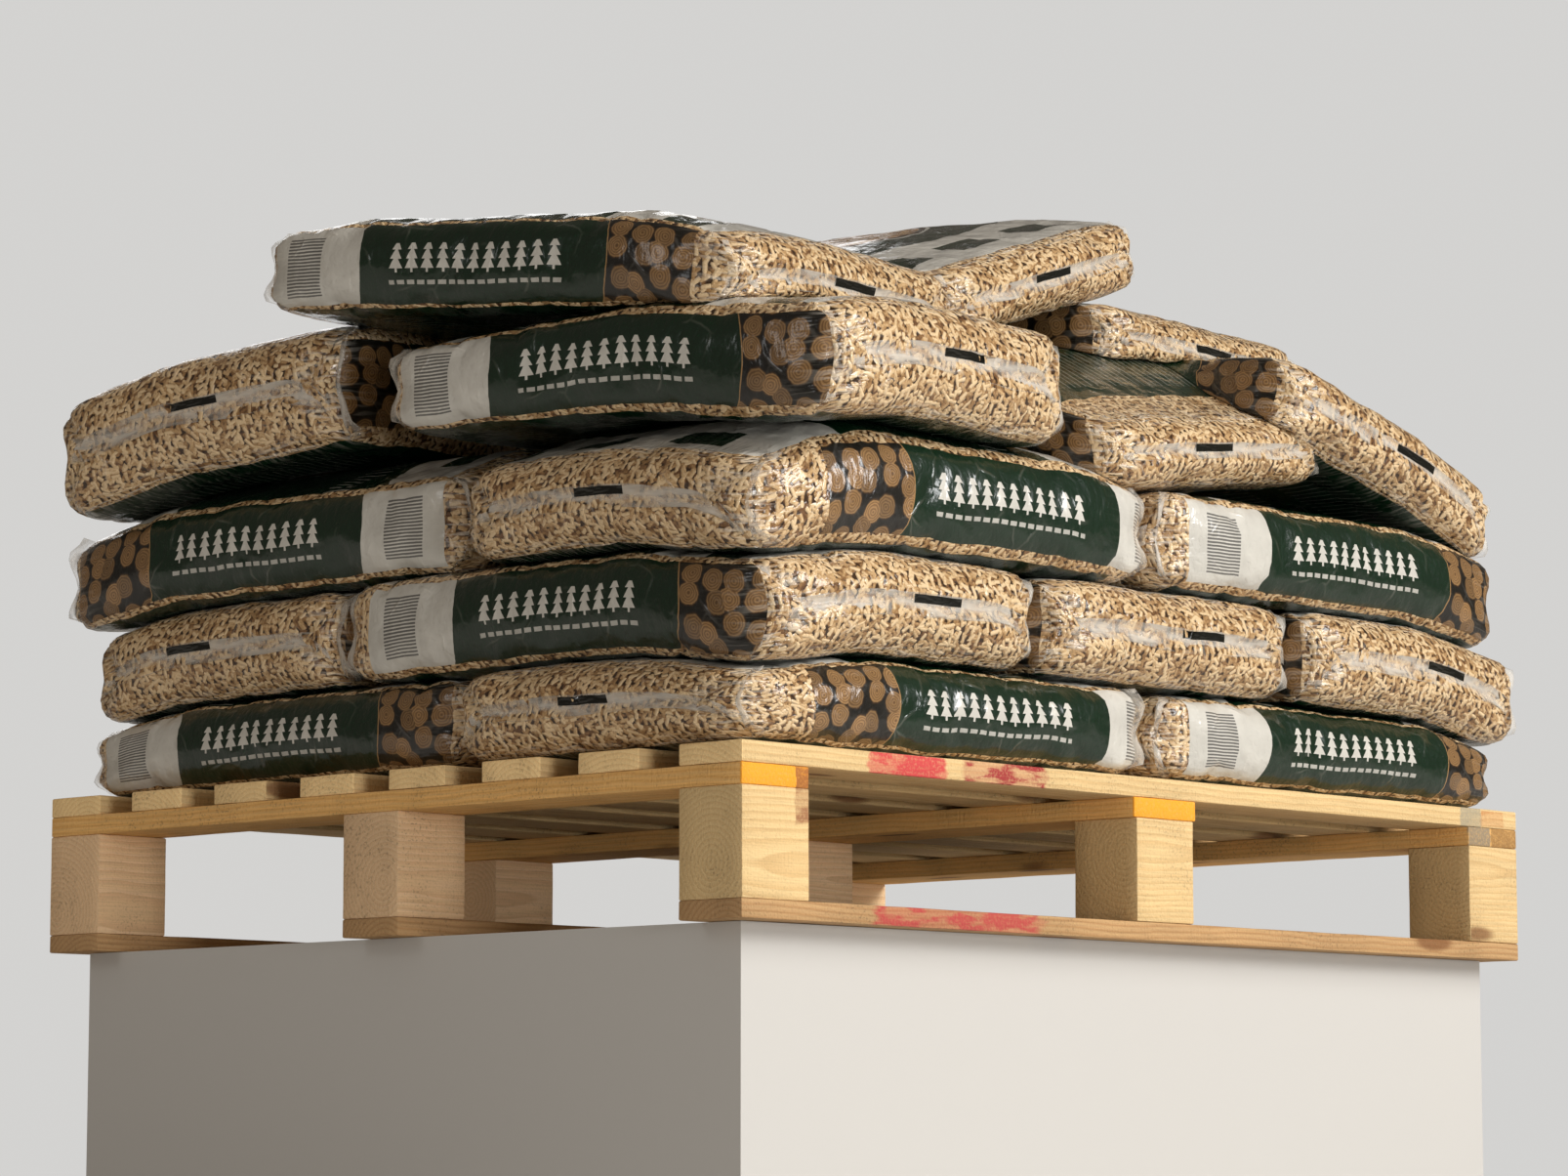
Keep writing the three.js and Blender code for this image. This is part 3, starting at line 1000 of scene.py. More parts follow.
@dataclass
class Pallet:
    """The pallet's 23 sawn boards and blocks, each cut a little rough round its packed size."""

    edge: float = 1.6 * MM
    cut: float = 24 * MM
    roughness: float = 0.35 * MM
    seed: int = 11

    def board(self, node: str, rng: np.random.Generator) -> bpy.types.Object:
        """Saws one board or block.

        Args:
            node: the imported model's node, which gives its place and size.
            rng: the source of its small faults.

        Returns:
            The board.
        """
        low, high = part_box(node)
        size = Vector(high) - Vector(low)
        centre = (Vector(high) + Vector(low)) / 2
        grain = 1 if node.startswith("stringer") else 0
        bm = bmesh.new()
        bmesh.ops.create_cube(bm, size=1.0)
        bmesh.ops.scale(bm, vec=size, verts=bm.verts)
        edges = list(bm.edges)
        bmesh.ops.bevel(
            bm, geom=edges, offset=self.edge, offset_type="OFFSET", segments=2,
            profile=0.5, affect="EDGES", material=-1, clamp_overlap=True,
        )
        for axis in range(3):
            step = self.cut if axis == grain else self.cut * 0.6
            for k in range(1, int(size[axis] / step)):
                at = Vector((0, 0, 0))
                at[axis] = -size[axis] / 2 + k * step
                normal = Vector((0, 0, 0))
                normal[axis] = 1
                geom = bm.verts[:] + bm.edges[:] + bm.faces[:]
                bmesh.ops.bisect_plane(bm, geom=geom, dist=1e-6, plane_co=at, plane_no=normal)
        shift = Vector(rng.uniform(-50, 50, 3))
        block = node.startswith("block")
        depth = rng.uniform(-0.3, 0.3) if block else -0.5 - rng.uniform(0.02, 0.09) / size.z
        pith = np.array([
            rng.uniform(-3, 3), rng.uniform(-0.4, 0.4) * size[1 - grain], depth * size.z,
        ])
        for vert in bm.verts:
            ripple = noise.noise_vector(vert.co * 35 + shift) * self.roughness
            warp = noise.noise_vector(vert.co * 4 + shift * 2) * self.roughness
            vert.co += ripple + warp
            vert.co = Vector([
                max(-half - self.roughness / 2, min(half + self.roughness / 2, value))
                for value, half in zip(vert.co, size / 2)
            ])
        bmesh.ops.translate(bm, vec=centre, verts=bm.verts)
        mesh = bpy.data.meshes.new(node + "_sawn")
        bm.to_mesh(mesh)
        bm.free()
        places = np.array([vert.co - centre for vert in mesh.vertices])
        log = np.stack([places[:, grain], places[:, 1 - grain], places[:, 2]], 1) - pith
        attribute = mesh.attributes.new("log", "FLOAT_VECTOR", "POINT")
        attribute.data.foreach_set("vector", log.ravel())
        cut = np.abs(places[:, grain]) > size[grain] / 2 - self.edge * 0.7
        attribute = mesh.attributes.new("end_grain", "FLOAT", "POINT")
        attribute.data.foreach_set("value", cut.astype(float))
        mesh.shade_smooth()
        mesh.set_sharp_from_angle(angle=math.radians(35))
        return new_piece(node + "_sawn", mesh)

    def build(self) -> None:
        """Saws and dresses every board, and puts each in its node's place."""
        rng = np.random.default_rng(self.seed)
        pine = SawnPine()
        # Painted light: the deck boards' ends are coloured lighter than their faces.
        board = SawnPine(end_grain_tone_and_light=1.34)
        dull = SawnPine(early="#cfa473", late="#a37243", shade=0.86)
        ochre = SawnPine(early="#efbb70", late="#cb8f43", shade=1.06)
        plain = pine.material("rough_sawn_pine")
        # The middle and back blocks take a pinker pine, made lighter as painted light for the light they
        # miss inside the pallet.
        pinkish_pine_with_painted_light = SawnPine(early="#f0cda4", late="#d09d69", shade=1.1)
        inner = pinkish_pine_with_painted_light.material("rough_sawn_pine_pinkish_painted_light")
        weathered = dull.material("rough_sawn_pine_weathered")
        face = (-502 * MM, -498 * MM)
        orange = WoodMark(
            "#f0a22c", (-0.7, face[0], 0.1), (0.13, face[1], 0.16), 0.96
        )
        torn = WoodMark("#8a5236", (-0.530, face[0], 0.088), (-0.509, face[1], 0.142), 0.8, 0.5)
        red = WoodMark("#c73f45", (-0.43, face[0], 0.137), (-0.325, face[1], 0.160), 0.95, 0.35)
        deep_red = WoodMark("#9c2832", (-0.30, face[0], 0.134), (-0.180, face[1], 0.166), 0.95, 0.65)
        low_red = WoodMark("#b23a40", (-0.43, face[0], -0.003), (-0.19, face[1], 0.021), 0.85, 0.6)
        grey = WoodMark("#9d9580", (0.497, face[0], 0.13), (0.535, face[1], 0.164), 0.8, 0.2)
        rust = WoodMark("#b9733c", (0.535, face[0], 0.142), (0.575, face[1], 0.158), 0.7, 0.5)
        smoky = WoodMark("#857c6c", (0.512, face[0], 0.118), (0.552, face[1], 0.143), 0.85, 0.2)
        brown = WoodMark("#8f6a3f", (0.552, face[0], 0.118), (0.602, face[1], 0.143), 0.8, 0.3)
        special = {
            "stringer_board_left": ochre.material("rough_sawn_pine_orange_end", [orange, torn]),
            "stringer_board_middle": ochre.material("rough_sawn_pine_orange_stub", [orange]),
            "stringer_board_right": ochre.material("rough_sawn_pine_ochre", [smoky, brown]),
            "deck_board_1": board.material("rough_sawn_pine_red_rub", [red, deep_red, grey, rust]),
            "bottom_board_front": dull.material("rough_sawn_pine_red_scuff", [low_red]),
            "block_front_left": pine.material("rough_sawn_pine_torn_corner", [torn]),
            "bottom_board_middle": weathered,
            "bottom_board_back": weathered,
        }
        deck = board.material("rough_sawn_pine_deck")
        special |= {f"deck_board_{number}": deck for number in range(2, 9)}
        special |= {
            f"block_{row}_{column}": inner
            for row in ("middle", "back") for column in ("left", "middle", "right")
        }
        timbers = [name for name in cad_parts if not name.startswith("sack_")]
        for node in timbers:
            board = self.board(node, rng)
            board.data.materials.append(special.get(node, plain))
            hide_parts(node)
            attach(board, BODY)
            LOG.info("sawn %s", board.name)


@dataclass(frozen=True)
class SackPlace:
    """One filled sack in the pile: its place in millimetres and its turns in degrees.

    At yaw 0 the picture end points to -X. Pitch lifts the picture end, roll lifts the left
    side, and taper thickens the sack towards its white end. The side prints and the main
    print start a little further from the picture end on some sacks than on others, and on
    one the main print lies aside. A turned sack shows its back. Slump is how far the top
    falls towards the picture end, the plain end, the right side and the left side.
    """

    name: str
    x: float
    y: float
    z: float
    thick: float
    yaw: float = 0
    pitch: float = 0
    roll: float = 0
    length: float = 592
    width: float = 396
    taper: float = 0
    print_start: float = 22
    main_start: float = 26
    aside: float = 0
    turned: bool = False
    mark: float = 0
    crown: float = 2
    slump: tuple[float, float, float, float] = (0, 0, 0, 0)


PILE = (
    SackPlace("sack_1_front_left", -308, -302, 160, 93, print_start=97),
    SackPlace("sack_1_front_right", 290, -302, 160, 93, 180, print_start=20),
    SackPlace("sack_1_back_left", -375, 194, 160, 93, 90, print_start=26),
    SackPlace("sack_1_back_middle", 22, 196, 160, 93, 90),
    SackPlace("sack_1_back_right", 412, 195, 160, 93, -90, width=382),
    SackPlace("sack_2_front_left", -384, -216, 253, 102, 90, print_start=12, mark=-30),
    SackPlace("sack_2_front_middle", 14, -214, 253, 101, 90, mark=-32),
    SackPlace("sack_2_front_right", 412, -218, 253, 101, 91, mark=-38),
    SackPlace("sack_2_back_left", -285, 281, 253, 100, 1, mark=30),
    SackPlace("sack_2_back_right", 312, 284, 253, 101, 180),
    SackPlace(
        "sack_3_front_left", -306, -310, 355, 146, print_start=105, main_start=4,
        slump=(50, 42, 34, 24),
    ),
    SackPlace("sack_3_front_right", 292, -306, 354, 104, 180, print_start=20),
    SackPlace("sack_3_back_left", -386, 214, 354, 134, -86, print_start=30, slump=(20, 0, 34, 0)),
    SackPlace("sack_3_back_middle", 16, 192, 354, 108, 90),
    SackPlace("sack_3_back_right", 414, 194, 354, 104, -91),
    SackPlace(
        "sack_4_front_left", -385, -270, 482, 110, 96, length=560, taper=-0.18, print_start=10,
        slump=(14, 0, 0, 6),
    ),
    SackPlace(
        "sack_4_front_middle", 78, -205, 466, 158, 93, roll=-7, mark=20, main_start=60,
        aside=44, turned=True, slump=(86, 20, 4, 30),
    ),
    SackPlace("sack_4_front_right", 384, -214, 489, 100, 90, roll=14, mark=-20, slump=(14, 0, 0, 0)),
    SackPlace(
        "sack_4_back_left", -322, 322, 486, 142, 10, roll=-5, taper=-0.08, print_start=14,
        slump=(26, 0, 12, 0),
    ),
    SackPlace("sack_4_back_right", 296, 306, 463, 108, 176),
    SackPlace(
        "sack_5_front_left", -400, -120, 600, 104, 98, pitch=-5.5, print_start=46, crown=4,
        slump=(18, 18, 12, 12),
    ),
    SackPlace("sack_5_front_right", 236, -60, 600, 92, 95, crown=4, slump=(22, 18, 12, 12)),
    SackPlace(
        "sack_5_front_middle", -52, -74, 640, 100, 98, roll=-17, crown=4, slump=(22, 20, 12, 12)
    ),
    SackPlace("sack_5_back_right", 280, 310, 575, 102, -4, crown=4, slump=(18, 18, 12, 12)),
)


class SackGrid:
    """The even grid over a cube that every sack is made from, and what lies where on it."""

    def __init__(self, cells: tuple[int, int, int] = (72, 48, 12)) -> None:
        """Cuts the cube.

        Args:
            cells: how many faces it has along its length, width and thickness.
        """
        self.cells = cells
        bm = bmesh.new()
        bmesh.ops.create_cube(bm, size=2.0)
        for axis, count in enumerate(cells):
            along = [
                edge for edge in bm.edges
                if abs(edge.verts[0].co[axis] - edge.verts[1].co[axis]) > 1e-4
            ]
            bmesh.ops.subdivide_edges(bm, edges=along, cuts=count - 1, use_grid_fill=True)
        self.mesh = bpy.data.meshes.new("sack_grid")
        bm.to_mesh(self.mesh)
        bm.free()
        count = len(self.mesh.vertices)
        flat = np.empty(count * 3)
        self.mesh.vertices.foreach_get("co", flat)
        cube = flat.reshape(-1, 3)
        steps = np.rint((cube + 1) / 2 * np.array(cells)).astype(int)
        self.steps = steps
        self.index = np.full([n + 1 for n in cells], -1)
        self.index[tuple(steps.T)] = np.arange(count)
        even = steps / np.array(cells) * 2 - 1
        self.spread = even * 0.55 + np.sin(even * math.pi / 2) * 0.45
        self.panels = self._panels()
        self.gathered = self._gathered()
        self.edges = np.array([edge.vertices[:] for edge in self.mesh.edges])

    def _panels(self) -> np.ndarray:
        """Sorts the faces by the side of the cube that they lie on.

        Returns:
            For each face its axis, 0 to 2, and 3 more on the cube's positive sides.
        """
        sides = np.empty(len(self.mesh.polygons), int)
        for face in self.mesh.polygons:
            axis = max(range(3), key=lambda k: abs(face.normal[k]))
            sides[face.index] = axis + (3 if face.normal[axis] > 0 else 0)
        return sides

    def _gathered(self) -> np.ndarray:
        """Finds where the film is gathered: round the ends, and along their gusset folds.

        Returns:
            A value from 0 to 1 for each vertex.
        """
        a, b, c = np.abs(self.spread).T
        round_end = np.clip((a - 0.62) / 0.36, 0, 1) ** 3
        rim = np.clip((np.maximum(b, c) - 0.8) / 0.2, 0, 1)
        fork = 0.92 * np.clip((b - 0.66) / 0.34, 0, 1)
        fold = np.exp(-((c - fork) / 0.16) ** 2) * np.clip((b - 0.45) / 0.3, 0, 1)
        return np.where(a > 0.999, np.maximum(rim, fold), round_end)

    def mirrored(self, flips: tuple[int, int, int]) -> np.ndarray:
        """Finds each vertex's mirror image.

        Args:
            flips: -1 for each axis that is mirrored, otherwise 1.

        Returns:
            The mirror image's index for each vertex.
        """
        steps = self.steps.copy()
        for axis, flip in enumerate(flips):
            if flip < 0:
                steps[:, axis] = self.cells[axis] - steps[:, axis]
        return self.index[tuple(steps.T)]

    def film_lengths(self, points: np.ndarray) -> dict[int, tuple[np.ndarray, np.ndarray]]:
        """Measures each side of the sack along its surface, from its middle lines.

        Args:
            points: the sack's vertices before it is creased.

        Returns:
            For each side of the cube, two arrays over its grid: metres along its first
            and its second axis.
        """
        lengths = {}
        for side in range(6):
            axis = side % 3
            layer = self.cells[axis] if side > 2 else 0
            grid = points[np.take(self.index, layer, axis=axis)]
            found = []
            for run in range(2):
                gaps = np.linalg.norm(np.diff(grid, axis=run), axis=2)
                total = np.insert(np.cumsum(gaps, axis=run), 0, 0, axis=run)
                middle = np.take(total, [total.shape[run] // 2], axis=run)
                found.append(total - middle)
            lengths[side] = (found[0], found[1])
        return lengths

    def smooth(self, values: np.ndarray, rounds: int) -> np.ndarray:
        """Evens out a value over the surface.

        Args:
            values: a vector for each vertex.
            rounds: how often it is averaged with its neighbours.

        Returns:
            The evened values.
        """
        first, second = self.edges.T
        count = np.bincount(self.edges.ravel(), minlength=len(values))[:, None]
        for _ in range(rounds):
            total = np.zeros_like(values)
            np.add.at(total, first, values[second])
            np.add.at(total, second, values[first])
            values = (values + total / count) / 2
        return values


def slump_at(place: SackPlace, along: np.ndarray, across: np.ndarray) -> np.ndarray:
    """How far a sack's top has fallen.

    Args:
        place: the sack.
        along: places along it, from -1 at its picture end to 1.
        across: places across it, from -1 at its right side to 1.

    Returns:
        The fall in metres.
    """
    fall = 0
    for most, way in zip(place.slump, (-along, along, -across, across)):
        t = np.clip((way - SLUMP_START) / (1 - SLUMP_START), 0, 1)
        fall = fall + (most * t * t * (3 - 2 * t)) ** SLUMP_BLEND
    return fall ** (1 / SLUMP_BLEND) * MM


def sack_shape(spread: np.ndarray, place: SackPlace) -> np.ndarray:
    """The sack's smooth full shape about its own centre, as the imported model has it.

    Args:
        spread: cube coordinates from -1 to 1.
        place: the sack's sizes.

    Returns:
        Its points in metres.
    """
    power = 6
    a, b, c = spread.T
    plan = a ** (2 * power) + b ** (2 * power)
    rise = np.abs(c) ** power
    root = (np.sqrt(rise ** 2 + 4 * plan) - rise) / np.maximum(2 * plan, 1e-12)
    scale = np.where(plan > 1e-9, root, 1.0) ** (1 / power)
    fullness = 1 + place.taper * scale * a
    crown = place.crown * MM * np.clip(c, 0, 1) ** 4 * (1 - a ** 2) * (1 - b ** 2)
    sink = slump_at(place, scale * a, scale * b) * (1 + scale * c) / 2
    return np.stack([
        scale * a * place.length * MM / 2,
        scale * b * place.width * MM / 2,
        scale * c * place.thick * MM / 2 * fullness + crown - sink,
    ], 1)


@dataclass
class SackCloth:
    """Film blown up over its filling: one simulated sack, from which others take their folds."""

    grid: SackGrid
    seed: int
    frames: int = 22
    side_growth: float = 0.004
    end_growth: float = 0.055
    cap: float = 9 * MM
    tuck: float = 9 * MM
    valley: float = 8 * MM
    fork_start: float = 0.70

    def gusset_folds(self, points: np.ndarray) -> np.ndarray:
        """Tucks in the four end corners and creases the ends along the weld.

        Args:
            points: the smooth shape.

        Returns:
            The folded shape.
        """
        a, b, c = self.grid.spread.T
        folded = points.copy()
        near_end = np.clip((np.abs(a) - 0.86) / 0.14, 0, 1)
        near_side = np.clip((np.abs(b) - 0.80) / 0.20, 0, 1)
        tuck = near_end * near_side * np.exp(-(c / 0.42) ** 2)
        folded[:, 1] -= np.sign(b) * self.tuck * tuck
        on_end = np.clip((np.abs(a) - 0.95) / 0.05, 0, 1)
        fork = np.clip((np.abs(b) - self.fork_start) / (1 - self.fork_start), 0, 1)
        line = np.abs(c) - 0.92 * fork
        valley = on_end * np.exp(-(line / 0.15) ** 2)
        folded[:, 0] -= np.sign(a) * self.valley * valley
        return folded

    def roughen(self, points: np.ndarray) -> np.ndarray:
        """Adds the unevenness of loose pellets under film.

        Args:
            points: the sack's points.

        Returns:
            The uneven points.
        """
        shift = Vector((self.seed * 7.3, self.seed * 3.1, 0))
        bumps = np.array([
            noise.noise_vector(Vector(p) * 14 + shift) * 2.2 * MM
            + noise.noise_vector(Vector(p) * 48 + shift) * 0.9 * MM
            for p in points
        ])
        return points + bumps

    def inflate(self, points: np.ndarray) -> np.ndarray:
        """Blows the film up with Blender's cloth, held where the pellets press it flat.

        Args:
            points: the sack's points before.

        Returns:
            Its points after.
        """
        mesh = self.grid.mesh.copy()
        mesh.vertices.foreach_set("co", points.ravel())
        film = new_piece("film_trial", mesh)
        a, b, _ = np.abs(self.grid.spread).T
        held = film.vertex_groups.new(name="held")
        loose = film.vertex_groups.new(name="loose")
        flat = (a < 0.74) & (b < 0.70)
        for i in np.flatnonzero(flat):
            held.add([int(i)], 1.0, "REPLACE")
        slack = np.clip((a - 0.62) / 0.3, 0, 1)
        for i in np.flatnonzero(slack > 0):
            loose.add([int(i)], float(slack[i]), "REPLACE")
        cloth = film.modifiers.new("blown", "CLOTH")
        settings = cloth.settings
        settings.quality = 5
        settings.mass = 0.2
        settings.tension_stiffness = settings.compression_stiffness = 40
        settings.shear_stiffness = 12
        settings.bending_stiffness = 0.15
        settings.tension_damping = settings.compression_damping = settings.shear_damping = 8
        settings.bending_damping = 0.5
        settings.use_pressure = True
        settings.uniform_pressure_force = 5
        settings.vertex_group_shrink = "loose"
        settings.shrink_min = -self.side_growth
        settings.shrink_max = -self.end_growth
        settings.vertex_group_mass = "held"
        settings.effector_weights.gravity = 0
        cloth.collision_settings.use_collision = False
        cloth.point_cache.frame_start = 1
        cloth.point_cache.frame_end = self.frames
        scene = bpy.context.scene
        scene.frame_start, scene.frame_end = 1, self.frames
        for number in range(1, self.frames + 1):
            scene.frame_set(number)
        shown = film.evaluated_get(bpy.context.evaluated_depsgraph_get())
        flat_points = np.empty(len(mesh.vertices) * 3)
        shown.data.vertices.foreach_get("co", flat_points)
        scene.frame_set(1)
        bpy.data.objects.remove(film)
        bpy.data.meshes.remove(mesh)
        return flat_points.reshape(-1, 3)

    def folds(self) -> np.ndarray:
        """Makes the sack's folds.

        Returns:
            How far each vertex lies from the smooth shape, in metres.
        """
        smooth = sack_shape(self.grid.spread, SackPlace("pattern", 0, 0, 0, 102))
        start = self.roughen(self.gusset_folds(smooth))
        blown = self.inflate(start)
        moved = blown - start
        moved -= self.grid.smooth(moved, 40)
        reach = np.linalg.norm(moved, axis=1, keepdims=True)
        moved *= np.minimum(1, self.cap / np.maximum(reach, 1e-9))
        LOG.info("film %d moved %.1f mm at most", self.seed, reach.max() / MM)
        return start + moved - smooth


@dataclass
class Load:
    """The 24 sacks, laid from the deck up so that each gives way to those below it."""

    deck: float = 160 * MM
    corner_droop: float = 21 * MM
    edge_droop: float = 4 * MM
    droop_start: tuple[float, float] = (400 * MM, 300 * MM)
    droop_end: tuple[float, float] = (600 * MM, 500 * MM)
    droop_height: float = 99 * MM
    rest_gap: float = 0.4 * MM
    deepest: float = 90 * MM
    patterns: int = 3
    ear: float = 22 * MM
    film: float = 0.35 * MM
    seed: int = 5

    def droop(self, points: np.ndarray) -> np.ndarray:
        """Lowers points towards the pile's edges and corners, and not at all on the deck.

        Args:
            points: places in metres.

        Returns:
            The lowered places.
        """
        out = []
        for axis in range(2):
            start, end = self.droop_start[axis], self.droop_end[axis]
            t = np.clip((np.abs(points[:, axis]) - start) / (end - start), 0, 1)
            out.append(t * t * (3 - 2 * t))
        t = np.clip((points[:, 2] - self.deck) / self.droop_height, 0, 1)
        drop = self.corner_droop * out[0] * out[1] + self.edge_droop * np.maximum(*out)
        lowered = points.copy()
        lowered[:, 2] -= drop * t * t * (3 - 2 * t)
        return lowered

    def pose(self, place: SackPlace, points: np.ndarray) -> np.ndarray:
        """Moves a sack from its own centre to its place in the pile.

        Args:
            place: where it lies.
            points: its points about its own centre.

        Returns:
            Its points in the pile.
        """
        turns = [math.radians(t) for t in (place.roll, place.pitch, place.yaw)]
        rise = place.z + place.thick / 2
        spot = Vector((place.x * MM, place.y * MM, rise * MM + self.rest_gap))
        matrix = np.array(Matrix.Translation(spot) @ Euler(turns, "XYZ").to_matrix().to_4x4())
        moved = points @ matrix[:3, :3].T + matrix[:3, 3]
        return self.droop(moved)

    def settle(self, grid: SackGrid, points: np.ndarray, lower: list) -> np.ndarray:
        """Presses a sack against those already laid and the deck.

        Args:
            grid: the sacks' shared grid.
            points: its points in the pile.
            lower: each laid sack's tree of faces and its lowest and highest corners.

        Returns:
            Its points, clear of the others.
        """
        start = points.copy()
        for step in range(3):
            for tree, low, high in lower:
                near = np.all((points > low - 0.001) & (points < high + 0.001), axis=1)
                for i in np.flatnonzero(near):
                    spot = Vector(points[i])
                    hit, normal, _, _ = tree.find_nearest(spot, self.deepest)
                    if hit is not None and (spot - hit).dot(normal) < self.rest_gap:
                        points[i] = hit + normal * self.rest_gap
            points[:, 2] = np.maximum(points[:, 2], self.deck + self.rest_gap)
            if step < 2:
                points = start + grid.smooth(points - start, 2)
        return points

    def write_film(self, grid: SackGrid, mesh: bpy.types.Mesh, place: SackPlace, rng) -> None:
        """Stores the film and filling coordinates on a sack's mesh.

        Args:
            grid: the sacks' shared grid.
            mesh: the sack's mesh.
            place: the sack's sizes and how far its print is shifted.
            rng: gives each sack its own pellets.
        """
        lengths = grid.film_lengths(sack_shape(grid.spread, place))
        loops = np.array([loop.vertex_index for loop in mesh.loops])
        sides = np.repeat(grid.panels, 4)
        film = np.zeros((len(loops), 2))
        fill = np.zeros((len(loops), 2))
        side_start = (place.length / 2 - place.print_start) * MM
        main_start = (place.length / 2 - place.main_start) * MM
        for side in range(6):
            chosen = sides == side
            steps = grid.steps[loops[chosen]]
            first, second = [axis for axis in range(3) if axis != side % 3]
            grid_place = steps[:, first], steps[:, second]
            along, up = (table[grid_place] for table in lengths[side])
            fill[chosen] = np.stack([along, up], 1) + rng.uniform(0, 3, 2)
            if side % 3 == 0:
                film[chosen] = np.stack([along - place.mark * MM, up], 1)
            elif side % 3 == 1:
                lift = 1.0 if side == 4 else 0.0
                film[chosen] = np.stack([along + side_start, up + lift], 1)
            else:
                film[chosen] = np.stack([along + main_start, up - place.aside * MM], 1)
        mesh.uv_layers.new(name="film").data.foreach_set("uv", film.ravel())
        mesh.uv_layers.new(name="fill").data.foreach_set("uv", fill.ravel())
        under, top = (Panel.MAIN, Panel.BACK) if place.turned else (Panel.BACK, Panel.MAIN)
        panel_of_side = [Panel.END, Panel.SIDE, under, Panel.END, Panel.SIDE, top]
        panels = np.array([panel.value for panel in panel_of_side])[grid.panels]
        mesh.polygons.foreach_set("material_index", panels)
        attribute = mesh.attributes.new("gathered", "FLOAT", "POINT")
        attribute.data.foreach_set("value", grid.gathered)

    def add_strip(self, bm: bmesh.types.BMesh, rows: np.ndarray, start: float) -> None:
        """Welds a thin strip of film onto a sack.

        Args:
            bm: the sack's mesh.
            rows: the strip's points, row by row from its joined edge to its free edge.
            start: the first point's film coordinate, in metres.
        """
        depth, count = rows.shape[:2]
        made = bmesh.ops.create_grid(bm, x_segments=count - 1, y_segments=depth - 1, size=1.0)
        film = bm.loops.layers.uv["film"]
        steps = np.linalg.norm(np.diff(rows[0], axis=0), axis=1)
        along = start + np.insert(np.cumsum(steps), 0, 0)
        down = np.insert(np.cumsum(np.linalg.norm(np.diff(rows, axis=0), axis=2), axis=0), 0, 0, axis=0)
        order = {}
        for vert in made["verts"]:
            i = round((vert.co.x + 1) / 2 * (count - 1))
            j = round((vert.co.y + 1) / 2 * (depth - 1))
            vert.co = rows[j, i]
            order[vert] = (along[i], down[j, i])
        faces = {face for vert in order for face in vert.link_faces}
        for face in faces:
            face.material_index = Panel.SEAM.value
            face.smooth = True
            for loop in face.loops:
                loop[film].uv = order[loop.vert]
        bmesh.ops.solidify(bm, geom=list(faces), thickness=self.film)

    def add_fins(self, grid: SackGrid, mesh: bpy.types.Mesh, points: np.ndarray, place, rng) -> None:
        """Adds the folded-down weld across each end and the loose film at its corners.

        Args:
            grid: the sacks' shared grid.
            mesh: the sack's mesh.
            points: its points in the pile.
            place: how far its mark is shifted.
            rng: makes each fin its own.
        """
        bm = bmesh.new()
        bm.from_mesh(mesh)
        across, tall = grid.cells[1], grid.cells[2]
        for end in (0, grid.cells[0]):
            face = points[grid.index[end]]
            inner = points[grid.index[end - 1 if end else 1]]
            outward = face.mean((0, 1)) - inner.mean((0, 1))
            outward /= np.linalg.norm(outward)
            columns = np.arange(round(across * 0.06), round(across * 0.94) + 1)
            out = np.abs(columns / across * 2 - 1)
            sag = np.where(columns < across / 2, rng.uniform(0.5, 4), rng.uniform(-1, 3))
            upper = tall / 2 + 0.8 - sag * np.clip((out - 0.5) / 0.4, 0, 1) ** 2
            turns = np.linspace(0, rng.uniform(4, 9), len(columns))
            wave = 0.5 + 0.5 * np.sin(turns + rng.uniform(0, 6))
            rows = []
            for step in range(3):
                level = np.clip(upper - step * (1 - 0.15 * wave), 0, tall - 1e-6)
                below = level.astype(int)
                part = (level - below)[:, None]
                spot = face[columns, below] * (1 - part) + face[columns, below + 1] * part
                lift = (1.6 + 1.1 * step * wave) * MM
                rows.append(spot + outward * lift[:, None])
            half = np.linalg.norm(np.diff(rows[0], axis=0), axis=1).sum() / 2
            self.add_strip(bm, np.array(rows), -half - place.mark * MM)
            for side in (0, across):
                column = points[grid.index[end, side]]
                inside = points[grid.index[end, side - 2 if side else 2]]
                behind = points[grid.index[end - 3 if end else 3, side]]
                away = outward * 1.0 + 0.35 * (column - inside) / (10 * MM)
                away -= 0.1 * (behind - column) / (10 * MM)
                away /= np.linalg.norm(away, axis=1, keepdims=True)
                height = np.abs(np.linspace(-1, 1, tall + 1))
                reach = self.ear * (0.25 + 0.75 * height ** 1.5) * rng.uniform(0.5, 1.1)
                flutter = np.sin(np.linspace(0, 5, tall + 1) + rng.uniform(0, 6)) * 2 * MM
                aside = np.cross(away, [0, 0, 1.0]) * flutter[:, None]
                ear = [column + away * (reach * s)[:, None] + aside * s for s in (0, 0.5, 1.0)]
                self.add_strip(bm, np.array(ear), 1.0)
        bm.to_mesh(mesh)
        bm.free()

